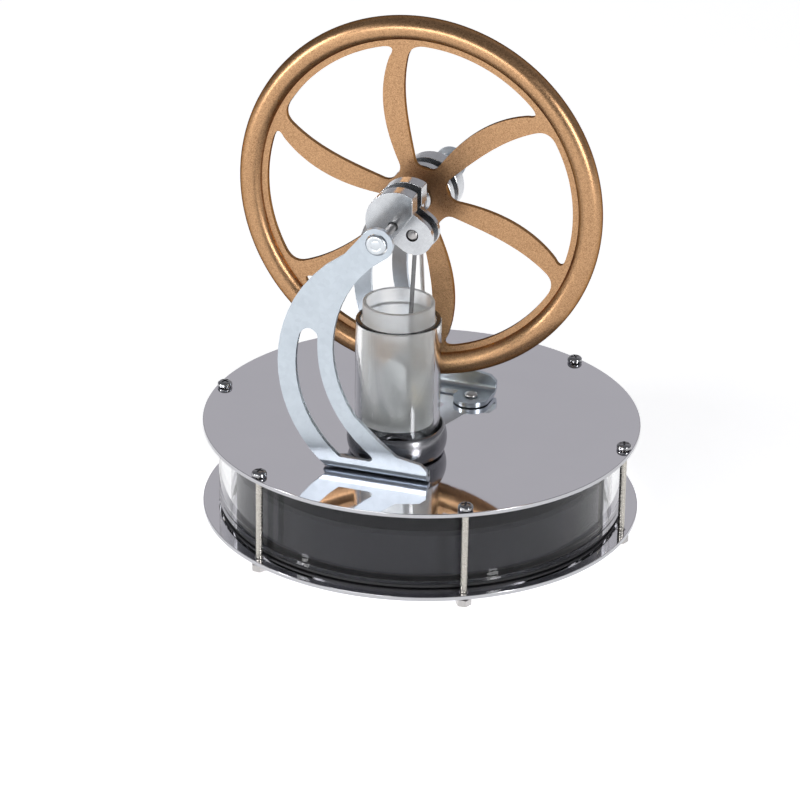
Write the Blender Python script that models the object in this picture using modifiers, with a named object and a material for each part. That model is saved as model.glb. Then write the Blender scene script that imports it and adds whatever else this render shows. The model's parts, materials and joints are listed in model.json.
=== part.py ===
"""Low-temperature model engine with two plates, a glass power cylinder and a spoked flywheel.

Run with: blender --background --python part.py
Units are metres and +Z is up. The origin is on the plates' axis, at the tips of the clamp screws.
The crankshaft runs along Y: -Y is the front, where the power cylinder stands.
"""

import math

import bmesh
import bpy
from mathutils import Matrix, Vector

# ---------------------------------------------------------------- driving dimensions
GAP = 0.0003                      # clearance between pieces that touch

PLATE_RADIUS = 0.0550
PLATE_THICKNESS = 0.0012
CHAMBER_HEIGHT = 0.0212           # between the two plates
UNDERSIDE_Z = 0.0027              # underside of the bottom plate, above the screw tips

RING_OUTER_RADIUS = 0.0510
RING_INNER_RADIUS = 0.0480
GASKET_THICKNESS = 0.0007

SCREW_COUNT = 6
SCREW_CIRCLE_RADIUS = 0.0529
SCREW_RADIUS = 0.00085
SCREW_HEAD_RADIUS = 0.0019
SCREW_HEAD_HEIGHT = 0.0013
NUT_ACROSS_CORNERS = 0.0041
NUT_THICKNESS = 0.0017

SHAFT_HEIGHT = 0.0615             # shaft axis above the top plate
SHAFT_RADIUS = 0.0010

POWER_Y = -0.0195                 # plane of the power crank and its cylinder
WHEEL_Y = -0.0049                 # plane of the flywheel
DISPLACER_Y = 0.0                 # plane of the displacer crank, over the plates' centre
FRONT_BRACKET_Y = -0.0370
REAR_BRACKET_Y = 0.0200

POWER_THROW = 0.0049
DISPLACER_THROW = 0.0030
POWER_CRANK_ANGLE = math.radians(-33.0)         # from +X, as the engine stands
DISPLACER_CRANK_ANGLE = POWER_CRANK_ANGLE - math.radians(90.0)
POWER_PIN_RADIUS = 0.00125
DISPLACER_PIN_RADIUS = 0.0009

WEB_THICKNESS = 0.0015
COUNTERWEIGHT_RADIUS = 0.0080

RIM_CENTRE_RADIUS = 0.04365
RIM_TUBE_RADIUS = 0.00295
WHEEL_WEB_THICKNESS = 0.0014
OPENING_OUTER_RADIUS = 0.0393
OPENING_INNER_RADIUS = 0.0080
SPOKE_COUNT = 6
SPOKE_WIDTH = 0.0056              # at its widest
SPOKE_WIDEST_RADIUS = 0.0235
SPOKE_TAPER = 8.0                 # width lost per square metre away from the widest radius
SPOKE_RIM_ANGLE = math.radians(96.7)            # first spoke, where it meets the rim
SPOKE_SWEEP = math.radians(803.0)               # turn of a spoke per metre, at the rim
SPOKE_CURL = math.radians(13050.0)              # how fast that turn fades towards the hub

GLASS_OUTER_RADIUS = 0.01055
GLASS_INNER_RADIUS = 0.00915
GLASS_TOP = 0.0353                # above the top plate
PISTON_RADIUS = 0.00885
PISTON_INNER_RADIUS = 0.00795
PISTON_TOP = 0.0399               # above the top plate
PISTON_LENGTH = 0.0316
PISTON_FLOOR = 0.0015
WRIST_HEIGHT = 0.0126             # wrist axis above the inside of the piston's floor

DISPLACER_RADIUS = 0.0465
DISPLACER_THICKNESS = 0.0122
DISPLACER_LIFT = 0.0013           # underside of the displacer above the bottom plate
DISPLACER_ROD_RADIUS = 0.0008
LINK_LENGTH = 0.0295

SHEET = 0.0012                    # bracket metal
BEND_RADIUS = 0.0012              # inside radius of the bracket's bend
EYE_RADIUS = 0.0041
BEARING_RADIUS = 0.0025
BRACKET_HALF_WIDTH = 0.0135
RIVET_RADIUS = 0.0008

# ---------------------------------------------------------------- levels that follow from them
BOTTOM_PLATE_TOP = UNDERSIDE_Z + PLATE_THICKNESS
TOP_PLATE_BOTTOM = BOTTOM_PLATE_TOP + CHAMBER_HEIGHT
DECK = TOP_PLATE_BOTTOM + PLATE_THICKNESS
SHAFT_Z = DECK + SHAFT_HEIGHT

FACING_FRONT = Matrix.Rotation(math.radians(90.0), 4, "X")    # local Z to -Y, local Y to +Z
ALONG_X = Matrix(((0, 0, 1, 0), (1, 0, 0, 0), (0, 1, 0, 0), (0, 0, 0, 1)))


def clear_scene():
    for item in list(bpy.data.objects):
        bpy.data.objects.remove(item, do_unlink=True)


clear_scene()

PARTS = bpy.data.collections.new("model_steam_engine")
CUTTERS = bpy.data.collections.new("cutters")
bpy.context.scene.collection.children.link(PARTS)
bpy.context.scene.collection.children.link(CUTTERS)


# ---------------------------------------------------------------- materials
def metal_or_plain(name, colour, roughness, metallic, transmission=0.0):
    material = bpy.data.materials.new(name)
    material.use_nodes = True
    shader = material.node_tree.nodes["Principled BSDF"]
    shader.inputs["Base Color"].default_value = (*colour, 1.0)
    shader.inputs["Roughness"].default_value = roughness
    shader.inputs["Metallic"].default_value = metallic
    shader.inputs["Transmission Weight"].default_value = transmission
    material.diffuse_color = (*colour, 1.0)
    return material


POLISHED_STEEL = metal_or_plain("polished_steel", (0.42, 0.42, 0.44), 0.12, 1.0)
ZINC_SHEET = metal_or_plain("zinc_plated_sheet", (0.72, 0.77, 0.80), 0.35, 1.0)
BRONZE_PAINT = metal_or_plain("bronze_paint", (0.47, 0.27, 0.12), 0.40, 0.7)
NICKEL = metal_or_plain("nickel", (0.66, 0.67, 0.68), 0.18, 1.0)
DARK_CHROME = metal_or_plain("dark_chrome", (0.22, 0.22, 0.24), 0.15, 1.0)
SCREW_STEEL = metal_or_plain("screw_steel", (0.55, 0.52, 0.48), 0.30, 1.0)
CLEAR_GLASS = metal_or_plain("clear_glass", (0.95, 0.97, 0.97), 0.02, 0.0, 1.0)
FROSTED_GLASS = metal_or_plain("frosted_glass", (0.80, 0.80, 0.79), 0.55, 0.0, 0.3)
CLEAR_ACRYLIC = metal_or_plain("clear_acrylic", (0.93, 0.95, 0.96), 0.04, 0.0, 1.0)
BLACK_RUBBER = metal_or_plain("black_rubber", (0.02, 0.02, 0.02), 0.70, 0.0)
DARK_FOAM = metal_or_plain("dark_foam", (0.05, 0.05, 0.06), 0.85, 0.0)
BRASS = metal_or_plain("brass", (0.70, 0.52, 0.22), 0.28, 1.0)


# ---------------------------------------------------------------- axes that moving pieces turn about
def add_axis(name, location, parent=None):
    """An empty on a joint's axis; location is in world coordinates."""
    axis = bpy.data.objects.new(name, None)
    axis.empty_display_size = 0.01
    axis["world"] = location
    offset = Vector(parent["world"]) if parent else Vector((0.0, 0.0, 0.0))
    axis.location = Vector(location) - offset
    axis.parent = parent
    PARTS.objects.link(axis)
    return axis


def on_circle(radius, angle):
    return (radius * math.cos(angle), radius * math.sin(angle))


POWER_PIN_X, POWER_PIN_DROP = on_circle(POWER_THROW, POWER_CRANK_ANGLE)
DISPLACER_PIN_X, DISPLACER_PIN_DROP = on_circle(DISPLACER_THROW, DISPLACER_CRANK_ANGLE)
POWER_PIN_Z = SHAFT_Z + POWER_PIN_DROP
DISPLACER_PIN_Z = SHAFT_Z + DISPLACER_PIN_DROP

CRANK_AXIS = add_axis("crank_axis", (0.0, 0.0, SHAFT_Z))
ROD_AXIS = add_axis("rod_axis", (POWER_PIN_X, POWER_Y, POWER_PIN_Z), CRANK_AXIS)
LINK_AXIS = add_axis("link_axis", (DISPLACER_PIN_X, DISPLACER_Y, DISPLACER_PIN_Z), CRANK_AXIS)
PISTON_AXIS = add_axis("piston_axis", (0.0, POWER_Y, DECK))
DISPLACER_AXIS = add_axis("displacer_axis", (0.0, DISPLACER_Y, BOTTOM_PLATE_TOP))


# ---------------------------------------------------------------- solids
def finish(mesh, name, material, placement, axis=None, smooth_angle=40.0):
    """Make the mesh a named part, placed in the world, hung on its axis if it moves."""
    part = bpy.data.objects.new(name, mesh)
    mesh.materials.clear()
    if material:
        mesh.materials.append(material)
        mesh.shade_smooth()
        mesh.set_sharp_from_angle(angle=math.radians(smooth_angle))
        PARTS.objects.link(part)
    else:
        part.hide_render = True
        part.display_type = "WIRE"
        CUTTERS.objects.link(part)
    if axis:
        part.parent = axis
        placement = Matrix.Translation(-Vector(axis["world"])) @ placement
    part.matrix_local = placement
    return part


def at(x, y, z, turn=None):
    place = Matrix.Translation((x, y, z))
    return place @ turn if turn else place


def drum(name, material, radius, low, high, place, axis=None, segments=32):
    """A cylinder along local Z, from low to high."""
    body = bmesh.new()
    middle = Matrix.Translation((0.0, 0.0, (low + high) / 2))
    bmesh.ops.create_cone(body, cap_ends=True, segments=segments, radius1=radius, radius2=radius,
                          depth=high - low, matrix=middle)
    mesh = bpy.data.meshes.new(name)
    body.to_mesh(mesh)
    body.free()
    return finish(mesh, name, material, place, axis)


def block(name, material, size, place, axis=None):
    """A box centred on its own origin."""
    body = bmesh.new()
    bmesh.ops.create_cube(body, size=1.0, matrix=Matrix.Diagonal((*size, 1.0)))
    mesh = bpy.data.meshes.new(name)
    body.to_mesh(mesh)
    body.free()
    return finish(mesh, name, material, place, axis)


def turned(name, material, profile, place, axis=None, steps=48, closed=True):
    """A turned piece: the profile is (radius, height), outer side from top to bottom."""
    mesh = bpy.data.meshes.new(name)
    points = [(radius, 0.0, height) for radius, height in profile]
    edges = [(index, index + 1) for index in range(len(points) - 1)]
    if closed:
        edges.append((len(points) - 1, 0))
    mesh.from_pydata(points, edges, [])
    part = finish(mesh, name, material, place, axis)
    screw = part.modifiers.new("turn", "SCREW")
    screw.steps = steps
    screw.render_steps = steps
    screw.use_merge_vertices = True
    screw.merge_threshold = 0.000001
    screw.use_smooth_shade = True
    return part


def outline_mesh(name, loops, depth):
    """A flat outline, with any holes, made solid by depth about its own plane."""
    curve = bpy.data.curves.new(name, "CURVE")
    curve.dimensions = "2D"
    curve.fill_mode = "BOTH"
    curve.extrude = depth / 2
    for loop in loops:
        spline = curve.splines.new("POLY")
        spline.points.add(len(loop) - 1)
        for point, (across, up) in zip(spline.points, loop):
            point.co = (across, up, 0.0, 1.0)
        spline.use_cyclic_u = True
    holder = bpy.data.objects.new(name + "_outline", curve)
    bpy.context.scene.collection.objects.link(holder)
    graph = bpy.context.evaluated_depsgraph_get()
    mesh = bpy.data.meshes.new_from_object(holder.evaluated_get(graph))
    bpy.data.objects.remove(holder, do_unlink=True)
    weld = bmesh.new()
    weld.from_mesh(mesh)
    bmesh.ops.remove_doubles(weld, verts=weld.verts, dist=0.000001)
    bmesh.ops.recalc_face_normals(weld, faces=weld.faces)
    weld.to_mesh(mesh)
    weld.free()
    mesh.name = name
    return mesh


def flat(name, material, loops, depth, place, axis=None):
    return finish(outline_mesh(name, loops, depth), name, material, place, axis)


def combine(part, other, operation):
    """Cut, join or intersect part with other, which stays as a hidden cutter."""
    step = part.modifiers.new(operation.lower() + "_" + other.name, "BOOLEAN")
    step.operation = operation
    step.solver = "EXACT"
    step.object = other
    return part


# ---------------------------------------------------------------- outlines
def arc(centre, radius, start, end, steps):
    """Points of an arc, both ends included; angles in radians."""
    points = []
    for index in range(steps + 1):
        angle = start + (end - start) * index / steps
        points.append((centre[0] + radius * math.cos(angle), centre[1] + radius * math.sin(angle)))
    return points


def circle(centre, radius, steps):
    return arc(centre, radius, 0.0, 2 * math.pi, steps)[:-1]


def trimmed(points, length):
    """The polyline without its last stretch of the given length."""
    kept = list(points)
    while len(kept) > 2 and math.dist(kept[-1], kept[-2]) <= length:
        length -= math.dist(kept[-1], kept[-2])
        kept.pop()
    step = math.dist(kept[-1], kept[-2])
    share = min(length / step, 0.9)
    last = tuple(end + (start - end) * share for end, start in zip(kept[-1], kept[-2]))
    return kept[:-1] + [last]


def rounded_outline(runs, trims, steps=4):
    """Join runs of points end to start, each corner eased over its trim length."""
    count = len(runs)
    corners = [runs[index][-1] for index in range(count)]
    short = []
    for index, run in enumerate(runs):
        run = trimmed(run, trims[index])
        run = trimmed(run[::-1], trims[index - 1])[::-1]
        short.append(run)
    outline = []
    for index, run in enumerate(short):
        following = short[(index + 1) % count]
        outline += run
        for step in range(1, steps):
            share = step / steps
            weights = ((1 - share) ** 2, 2 * share * (1 - share), share ** 2)
            spots = (run[-1], corners[index], following[0])
            outline.append(tuple(sum(w * s[k] for w, s in zip(weights, spots)) for k in (0, 1)))
    return outline


# ---------------------------------------------------------------- plates and the hot-air chamber
def screw_places():
    for index in range(SCREW_COUNT):
        yield index + 1, on_circle(SCREW_CIRCLE_RADIUS, 2 * math.pi * index / SCREW_COUNT)


RIVET_PLACES = {
    "front": (0.0096, FRONT_BRACKET_Y + 0.0044),
    "rear": (0.0088, REAR_BRACKET_Y - 0.0068),
}
CLEARANCE_HOLE = SCREW_RADIUS + GAP
PORT_RADIUS = 0.0040


def plate_loops(with_deck_holes):
    loops = [circle((0.0, 0.0), PLATE_RADIUS, 96)]
    loops += [circle(spot, CLEARANCE_HOLE, 12) for _, spot in screw_places()]
    if with_deck_holes:
        loops.append(circle((0.0, DISPLACER_Y), DISPLACER_ROD_RADIUS + GAP, 16))
        loops.append(circle((0.0, POWER_Y), PORT_RADIUS, 24))
        for across, depth in RIVET_PLACES.values():
            for side in (-1, 1):
                loops.append(circle((side * across, depth), RIVET_RADIUS + GAP, 12))
    return loops


flat("bottom_plate", POLISHED_STEEL, plate_loops(False), PLATE_THICKNESS,
     at(0, 0, UNDERSIDE_Z + PLATE_THICKNESS / 2))
flat("top_plate", POLISHED_STEEL, plate_loops(True), PLATE_THICKNESS,
     at(0, 0, DECK - PLATE_THICKNESS / 2))


def ring(name, material, outer, inner, low, high, steps=72):
    profile = [(outer, high), (outer, low), (inner, low), (inner, high)]
    return turned(name, material, profile, at(0, 0, 0), steps=steps)


GASKET_INNER_RADIUS = RING_INNER_RADIUS + 0.0004
GASKET_OUTER_RADIUS = RING_OUTER_RADIUS - 0.0004
ring("lower_gasket", BLACK_RUBBER, GASKET_OUTER_RADIUS, GASKET_INNER_RADIUS,
     BOTTOM_PLATE_TOP + GAP, BOTTOM_PLATE_TOP + GAP + GASKET_THICKNESS, 48)
ring("upper_gasket", BLACK_RUBBER, GASKET_OUTER_RADIUS, GASKET_INNER_RADIUS,
     TOP_PLATE_BOTTOM - GAP - GASKET_THICKNESS, TOP_PLATE_BOTTOM - GAP, 48)
ring("chamber_ring", CLEAR_ACRYLIC, RING_OUTER_RADIUS, RING_INNER_RADIUS,
     BOTTOM_PLATE_TOP + 2 * GAP + GASKET_THICKNESS, TOP_PLATE_BOTTOM - 2 * GAP - GASKET_THICKNESS)


def clamp_screw(index, spot):
    """Pan-head screw with a cross recess, from its tip at the origin's level to its head."""
    head = DECK + GAP
    crown = head + SCREW_HEAD_HEIGHT
    profile = [(0.0, crown), (SCREW_HEAD_RADIUS * 0.55, crown - 0.0001),
               (SCREW_HEAD_RADIUS * 0.90, crown - 0.0005), (SCREW_HEAD_RADIUS, head + 0.0003),
               (SCREW_HEAD_RADIUS, head), (SCREW_RADIUS, head), (SCREW_RADIUS, 0.0003),
               (SCREW_RADIUS - 0.0003, 0.0), (0.0, 0.0)]
    name = f"clamp_screw_{index}"
    screw = turned(name, DARK_CHROME, profile, at(*spot, 0), steps=12, closed=False)
    arm, width = 0.0011, 0.00032
    cross = [(width, arm), (-width, arm), (-width, width), (-arm, width), (-arm, -width),
             (-width, -width), (-width, -arm), (width, -arm), (width, -width), (arm, -width),
             (arm, width), (width, width)]
    turn = Matrix.Rotation(math.radians(17.0 * index), 4, "Z")
    recess = flat(f"recess_{index}", None, [cross], 0.0010, at(*spot, crown, turn))
    return combine(screw, recess, "DIFFERENCE")


def clamp_nut(index, spot):
    low = UNDERSIDE_Z - GAP - NUT_THICKNESS
    hexagon = circle((0.0, 0.0), NUT_ACROSS_CORNERS / 2, 6)
    bore = circle((0.0, 0.0), CLEARANCE_HOLE, 12)
    place = at(*spot, low + NUT_THICKNESS / 2, Matrix.Rotation(math.radians(11.0 * index), 4, "Z"))
    return flat(f"clamp_nut_{index}", SCREW_STEEL, [hexagon, bore], NUT_THICKNESS, place)


for number, place_xy in screw_places():
    clamp_screw(number, place_xy)
    clamp_nut(number, place_xy)


# ---------------------------------------------------------------- displacer and its linkage
DISPLACER_LOW = BOTTOM_PLATE_TOP + DISPLACER_LIFT
DISPLACER_HIGH = DISPLACER_LOW + DISPLACER_THICKNESS
LINK_TILT = math.asin(-DISPLACER_PIN_X / LINK_LENGTH)
LINK_FOOT_Z = DISPLACER_PIN_Z - LINK_LENGTH * math.cos(LINK_TILT)
ROD_BORE = DISPLACER_ROD_RADIUS + GAP

CLEVIS_EYE_RADIUS = 0.0023
CLEVIS_DEPTH = 0.0076             # clear depth of the fork under its cross hole
CLEVIS_GAP = 0.0030
CLEVIS_WIDTH = 0.0046
CLEVIS_BASE = 0.0015
CLEVIS_LOW = LINK_FOOT_Z - CLEVIS_DEPTH - CLEVIS_BASE


def displacer_disc():
    edge = 0.0008
    profile = [(ROD_BORE, DISPLACER_HIGH), (DISPLACER_RADIUS - edge, DISPLACER_HIGH),
               (DISPLACER_RADIUS, DISPLACER_HIGH - edge), (DISPLACER_RADIUS, DISPLACER_LOW + edge),
               (DISPLACER_RADIUS - edge, DISPLACER_LOW), (ROD_BORE, DISPLACER_LOW)]
    return turned("displacer", DARK_FOAM, profile, at(0, DISPLACER_Y, 0), DISPLACER_AXIS, 48)


def displacer_hub():
    low = DISPLACER_HIGH + GAP
    profile = [(ROD_BORE, low + 0.0010), (0.0036, low + 0.0010), (0.0040, low + 0.0006),
               (0.0040, low), (ROD_BORE, low)]
    return turned("displacer_hub", NICKEL, profile, at(0, DISPLACER_Y, 0), DISPLACER_AXIS, 24)


def rod_gland():
    low = DECK + GAP
    bore = DISPLACER_ROD_RADIUS + GAP
    profile = [(bore, low + 0.0090), (0.0016, low + 0.0090), (0.0021, low + 0.0084),
               (0.0021, low + 0.0022), (0.0030, low + 0.0016), (0.0045, low + 0.0012),
               (0.0045, low), (bore, low)]
    return turned("rod_gland", BRASS, profile, at(0, DISPLACER_Y, 0), steps=24)


def fork_outline(depth, top_radius, half_width):
    """Side view of a fork's cheek: a bar with a round top about the cross hole."""
    top = arc((0.0, 0.0), top_radius, 0.0, math.pi, 12)
    return [(half_width, -depth)] + top + [(-half_width, -depth)]


def fork(name, material, place, axis, depth, base, gap, cheek, half_width):
    """A fork open along local X, its cross-hole axis along Y through its own origin."""
    side = fork_outline(depth + base, half_width, half_width)
    body = flat(name, material, [side, circle((0.0, 0.0), 0.0007, 12)], gap + 2 * cheek,
                place @ FACING_FRONT, axis)
    slot_height = depth + half_width + 0.001
    slot_place = place @ Matrix.Translation((0.0, 0.0, slot_height / 2 - depth))
    slot = block(name + "_slot", None, (4 * half_width, gap, slot_height), slot_place, axis)
    return combine(body, slot, "DIFFERENCE")


displacer_disc()
displacer_hub()
rod_gland()
drum("displacer_rod", SCREW_STEEL, DISPLACER_ROD_RADIUS, DISPLACER_LOW, CLEVIS_LOW - GAP,
     at(0, DISPLACER_Y, 0), DISPLACER_AXIS, 16)
fork("displacer_fork", NICKEL, at(0, DISPLACER_Y, LINK_FOOT_Z), DISPLACER_AXIS,
     CLEVIS_DEPTH, CLEVIS_BASE, CLEVIS_GAP, 0.0008, CLEVIS_EYE_RADIUS)


def two_eyed_rod(name, material, axis, place, length, radius, big_eye, big_bore, thickness):
    """A thin rod down from an eye about its own origin to a small eye at its foot."""
    small_eye, small_bore = 0.00125, 0.00075
    rod = flat(name, material, [circle((0.0, 0.0), big_eye, 24)], thickness,
               place @ FACING_FRONT, axis)
    foot = Matrix.Translation((0.0, 0.0, -length))
    stem = drum(name + "_stem", None, radius, -length, 0.0, place, axis, 12)
    eye = flat(name + "_eye", None, [circle((0.0, 0.0), small_eye, 16)], 0.0016,
               place @ foot @ FACING_FRONT, axis)
    big_hole = flat(name + "_big_hole", None, [circle((0.0, 0.0), big_bore, 20)], 0.01,
                    place @ FACING_FRONT, axis)
    small_hole = flat(name + "_small_hole", None, [circle((0.0, 0.0), small_bore, 12)], 0.01,
                      place @ foot @ FACING_FRONT, axis)
    combine(rod, stem, "UNION")
    combine(rod, eye, "UNION")
    combine(rod, big_hole, "DIFFERENCE")
    return combine(rod, small_hole, "DIFFERENCE")


def tilted(tilt):
    """A turn about Y that swings the foot of a hanging rod towards +X."""
    return Matrix.Rotation(-tilt, 4, "Y")


POWER_PIN_BORE = POWER_PIN_RADIUS + GAP
DISPLACER_PIN_BORE = DISPLACER_PIN_RADIUS + GAP
link_place = at(DISPLACER_PIN_X, DISPLACER_Y, DISPLACER_PIN_Z, tilted(LINK_TILT))
two_eyed_rod("displacer_link", SCREW_STEEL, LINK_AXIS, link_place, LINK_LENGTH, 0.00055,
             0.0023, DISPLACER_PIN_BORE, 0.0016)
link_foot = link_place @ Matrix.Translation((0.0, 0.0, -LINK_LENGTH)) @ FACING_FRONT
drum("link_pin", NICKEL, 0.00045, -0.0012, 0.0012, link_foot, LINK_AXIS, 12)


# ---------------------------------------------------------------- power cylinder and piston
PISTON_HIGH = DECK + PISTON_TOP
PISTON_LOW = PISTON_HIGH - PISTON_LENGTH
PISTON_INSIDE = PISTON_LOW + PISTON_FLOOR
WRIST_Z = PISTON_INSIDE + WRIST_HEIGHT
COLLAR_SEAT = 0.0012
CYLINDER_PLACE = at(0, POWER_Y, 0)


def cylinder_collar():
    low = DECK + GAP
    inner = GLASS_OUTER_RADIUS + GAP
    profile = [(inner, low + 0.0066), (inner + 0.0004, low + 0.0070), (0.0118, low + 0.0067),
               (0.0122, low + 0.0060), (0.0124, low + 0.0045), (0.0123, low + 0.0028),
               (0.0119, low + 0.0012), (0.0113, low), (0.0055, low),
               (0.0055, low + COLLAR_SEAT), (inner, low + COLLAR_SEAT)]
    return turned("cylinder_collar", DARK_CHROME, profile, CYLINDER_PLACE, steps=32)


def cylinder_glass():
    low = DECK + GAP + COLLAR_SEAT + GAP
    high = DECK + GLASS_TOP
    edge = 0.0003
    profile = [(GLASS_INNER_RADIUS, high), (GLASS_OUTER_RADIUS - edge, high),
               (GLASS_OUTER_RADIUS, high - edge), (GLASS_OUTER_RADIUS, low),
               (GLASS_INNER_RADIUS, low)]
    return turned("cylinder_glass", CLEAR_GLASS, profile, CYLINDER_PLACE, steps=32)


def piston():
    edge = 0.0002
    profile = [(PISTON_INNER_RADIUS, PISTON_HIGH), (PISTON_RADIUS - edge, PISTON_HIGH),
               (PISTON_RADIUS, PISTON_HIGH - edge), (PISTON_RADIUS, PISTON_LOW + 3 * edge),
               (PISTON_RADIUS - 3 * edge, PISTON_LOW), (0.0, PISTON_LOW), (0.0, PISTON_INSIDE),
               (PISTON_INNER_RADIUS, PISTON_INSIDE)]
    return turned("piston", FROSTED_GLASS, profile, CYLINDER_PLACE, PISTON_AXIS, 32)


cylinder_collar()
cylinder_glass()
piston()
FORK_BASE = 0.0010
fork("piston_fork", NICKEL, at(0, POWER_Y, WRIST_Z), PISTON_AXIS,
     WRIST_HEIGHT - GAP - FORK_BASE, FORK_BASE, 0.0040, 0.0011, 0.0030)

ROD_FOOT_SHIFT = 0.0016           # how far the rod's foot leans in towards the cylinder's axis
ROD_DROP = POWER_PIN_Z - WRIST_Z
ROD_LENGTH = math.hypot(ROD_DROP, ROD_FOOT_SHIFT)
rod_place = at(POWER_PIN_X, POWER_Y, POWER_PIN_Z, tilted(-math.asin(ROD_FOOT_SHIFT / ROD_LENGTH)))
two_eyed_rod("connecting_rod", SCREW_STEEL, ROD_AXIS, rod_place, ROD_LENGTH, 0.00055,
             0.0024, POWER_PIN_BORE, 0.0018)
rod_foot = rod_place @ Matrix.Translation((0.0, 0.0, -ROD_LENGTH)) @ FACING_FRONT
drum("wrist_pin", NICKEL, 0.00045, -0.0015, 0.0015, rod_foot, ROD_AXIS, 12)


# ---------------------------------------------------------------- crankshaft
LOBE_START = math.radians(94.0)   # the counterweight's round edge, from the arm's own direction
LOBE_END = math.radians(280.0)


def weight_outline(shoulder, lobe):
    """Counterweight: a round lobe, a straight front edge and one corner cut back to a shoulder."""
    return [shoulder] + arc(lobe, COUNTERWEIGHT_RADIUS, LOBE_START, LOBE_END, 22)


def crank_web(name, inner_face, outward, angle, throw, pin_bore, arm, weight, weight_depth):
    """A web with its counterweight on the outer side; outward is -1 to the front, 1 to the rear.

    arm is the radius of the arm and how far its round end reaches past the pin's centre.
    """
    turn = FACING_FRONT @ Matrix.Rotation(angle, 4, "Z")
    plate_middle = inner_face + outward * WEB_THICKNESS / 2
    arm_radius, past_pin = arm
    bar = arc((throw + past_pin, 0.0), arm_radius, -math.pi / 2, math.pi / 2, 12)
    bar += arc((0.0, 0.0), arm_radius, math.pi / 2, 3 * math.pi / 2, 12)
    web = flat(name, NICKEL, [bar], WEB_THICKNESS, at(0, plate_middle, SHAFT_Z, turn), CRANK_AXIS)
    inset = 0.0001
    depth = WEB_THICKNESS + weight_depth - inset
    weight_middle = inner_face + outward * (inset + depth / 2)
    block_part = flat(name + "_weight", None, [weight], depth,
                      at(0, weight_middle, SHAFT_Z, turn), CRANK_AXIS)
    ease = block_part.modifiers.new("ease", "BEVEL")
    ease.width = 0.0004
    ease.segments = 1
    ease.limit_method = "ANGLE"
    ease.angle_limit = math.radians(50.0)
    bores = [circle((throw, 0.0), pin_bore, 20), circle((0.0, 0.0), SHAFT_RADIUS + GAP, 20)]
    holes = flat(name + "_holes", None, bores, 0.02, at(0, inner_face, SHAFT_Z, turn), CRANK_AXIS)
    combine(web, block_part, "UNION")
    return combine(web, holes, "DIFFERENCE")


POWER_HALF_GAP = 0.0016
DISPLACER_HALF_GAP = 0.0014
WEIGHT_DEPTH = 0.0024
SLIM_WEIGHT_DEPTH = 0.0009
DEEP_WEIGHT_DEPTH = 0.0032
POWER_ARM = (0.00475, 0.0005)
DISPLACER_ARM = (0.0040, 0.0)
POWER_WEIGHT = weight_outline((0.0022, 0.0056), (0.0003, 0.0013))
DISPLACER_WEIGHT = weight_outline((0.0005, 0.0036), (0.0, 0.0))

POWER_FRONT_FACE = POWER_Y - POWER_HALF_GAP
POWER_REAR_FACE = POWER_Y + POWER_HALF_GAP
DISPLACER_FRONT_FACE = DISPLACER_Y - DISPLACER_HALF_GAP
DISPLACER_REAR_FACE = DISPLACER_Y + DISPLACER_HALF_GAP

crank_web("power_web_front", POWER_FRONT_FACE, -1, POWER_CRANK_ANGLE, POWER_THROW,
          POWER_PIN_BORE, POWER_ARM, POWER_WEIGHT, WEIGHT_DEPTH)
crank_web("power_web_rear", POWER_REAR_FACE, 1, POWER_CRANK_ANGLE, POWER_THROW,
          POWER_PIN_BORE, POWER_ARM, POWER_WEIGHT, WEIGHT_DEPTH)
crank_web("displacer_web_front", DISPLACER_FRONT_FACE, -1, DISPLACER_CRANK_ANGLE,
          DISPLACER_THROW, DISPLACER_PIN_BORE, DISPLACER_ARM, DISPLACER_WEIGHT, SLIM_WEIGHT_DEPTH)
crank_web("displacer_web_rear", DISPLACER_REAR_FACE, 1, DISPLACER_CRANK_ANGLE,
          DISPLACER_THROW, DISPLACER_PIN_BORE, DISPLACER_ARM, DISPLACER_WEIGHT, DEEP_WEIGHT_DEPTH)


def along_shaft(name, material, radius, front, rear, x=0.0, z=SHAFT_Z, segments=24):
    """A round bar along Y from front to rear, on the crankshaft."""
    return drum(name, material, radius, -rear, -front, at(x, 0, z, FACING_FRONT),
                CRANK_AXIS, segments)


PIN_STICK_OUT = 0.0001
along_shaft("power_crank_pin", SCREW_STEEL, POWER_PIN_RADIUS,
            POWER_FRONT_FACE - WEB_THICKNESS - PIN_STICK_OUT,
            POWER_REAR_FACE + WEB_THICKNESS + PIN_STICK_OUT, POWER_PIN_X, POWER_PIN_Z, 20)
along_shaft("displacer_crank_pin", SCREW_STEEL, DISPLACER_PIN_RADIUS,
            DISPLACER_FRONT_FACE - WEB_THICKNESS - PIN_STICK_OUT,
            DISPLACER_REAR_FACE + WEB_THICKNESS + PIN_STICK_OUT,
            DISPLACER_PIN_X, DISPLACER_PIN_Z, 20)
BEARING_BORE_FLOOR = 0.0002       # end of the bearings' blind bores, inside the brackets' faces
SHAFT_FRONT_END = FRONT_BRACKET_Y + BEARING_BORE_FLOOR + GAP
SHAFT_REAR_END = REAR_BRACKET_Y - BEARING_BORE_FLOOR - GAP
along_shaft("front_shaft", SCREW_STEEL, SHAFT_RADIUS, SHAFT_FRONT_END, POWER_FRONT_FACE)
along_shaft("main_shaft", SCREW_STEEL, SHAFT_RADIUS, POWER_REAR_FACE, DISPLACER_FRONT_FACE)
along_shaft("rear_shaft", SCREW_STEEL, SHAFT_RADIUS, DISPLACER_REAR_FACE, SHAFT_REAR_END)


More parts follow.
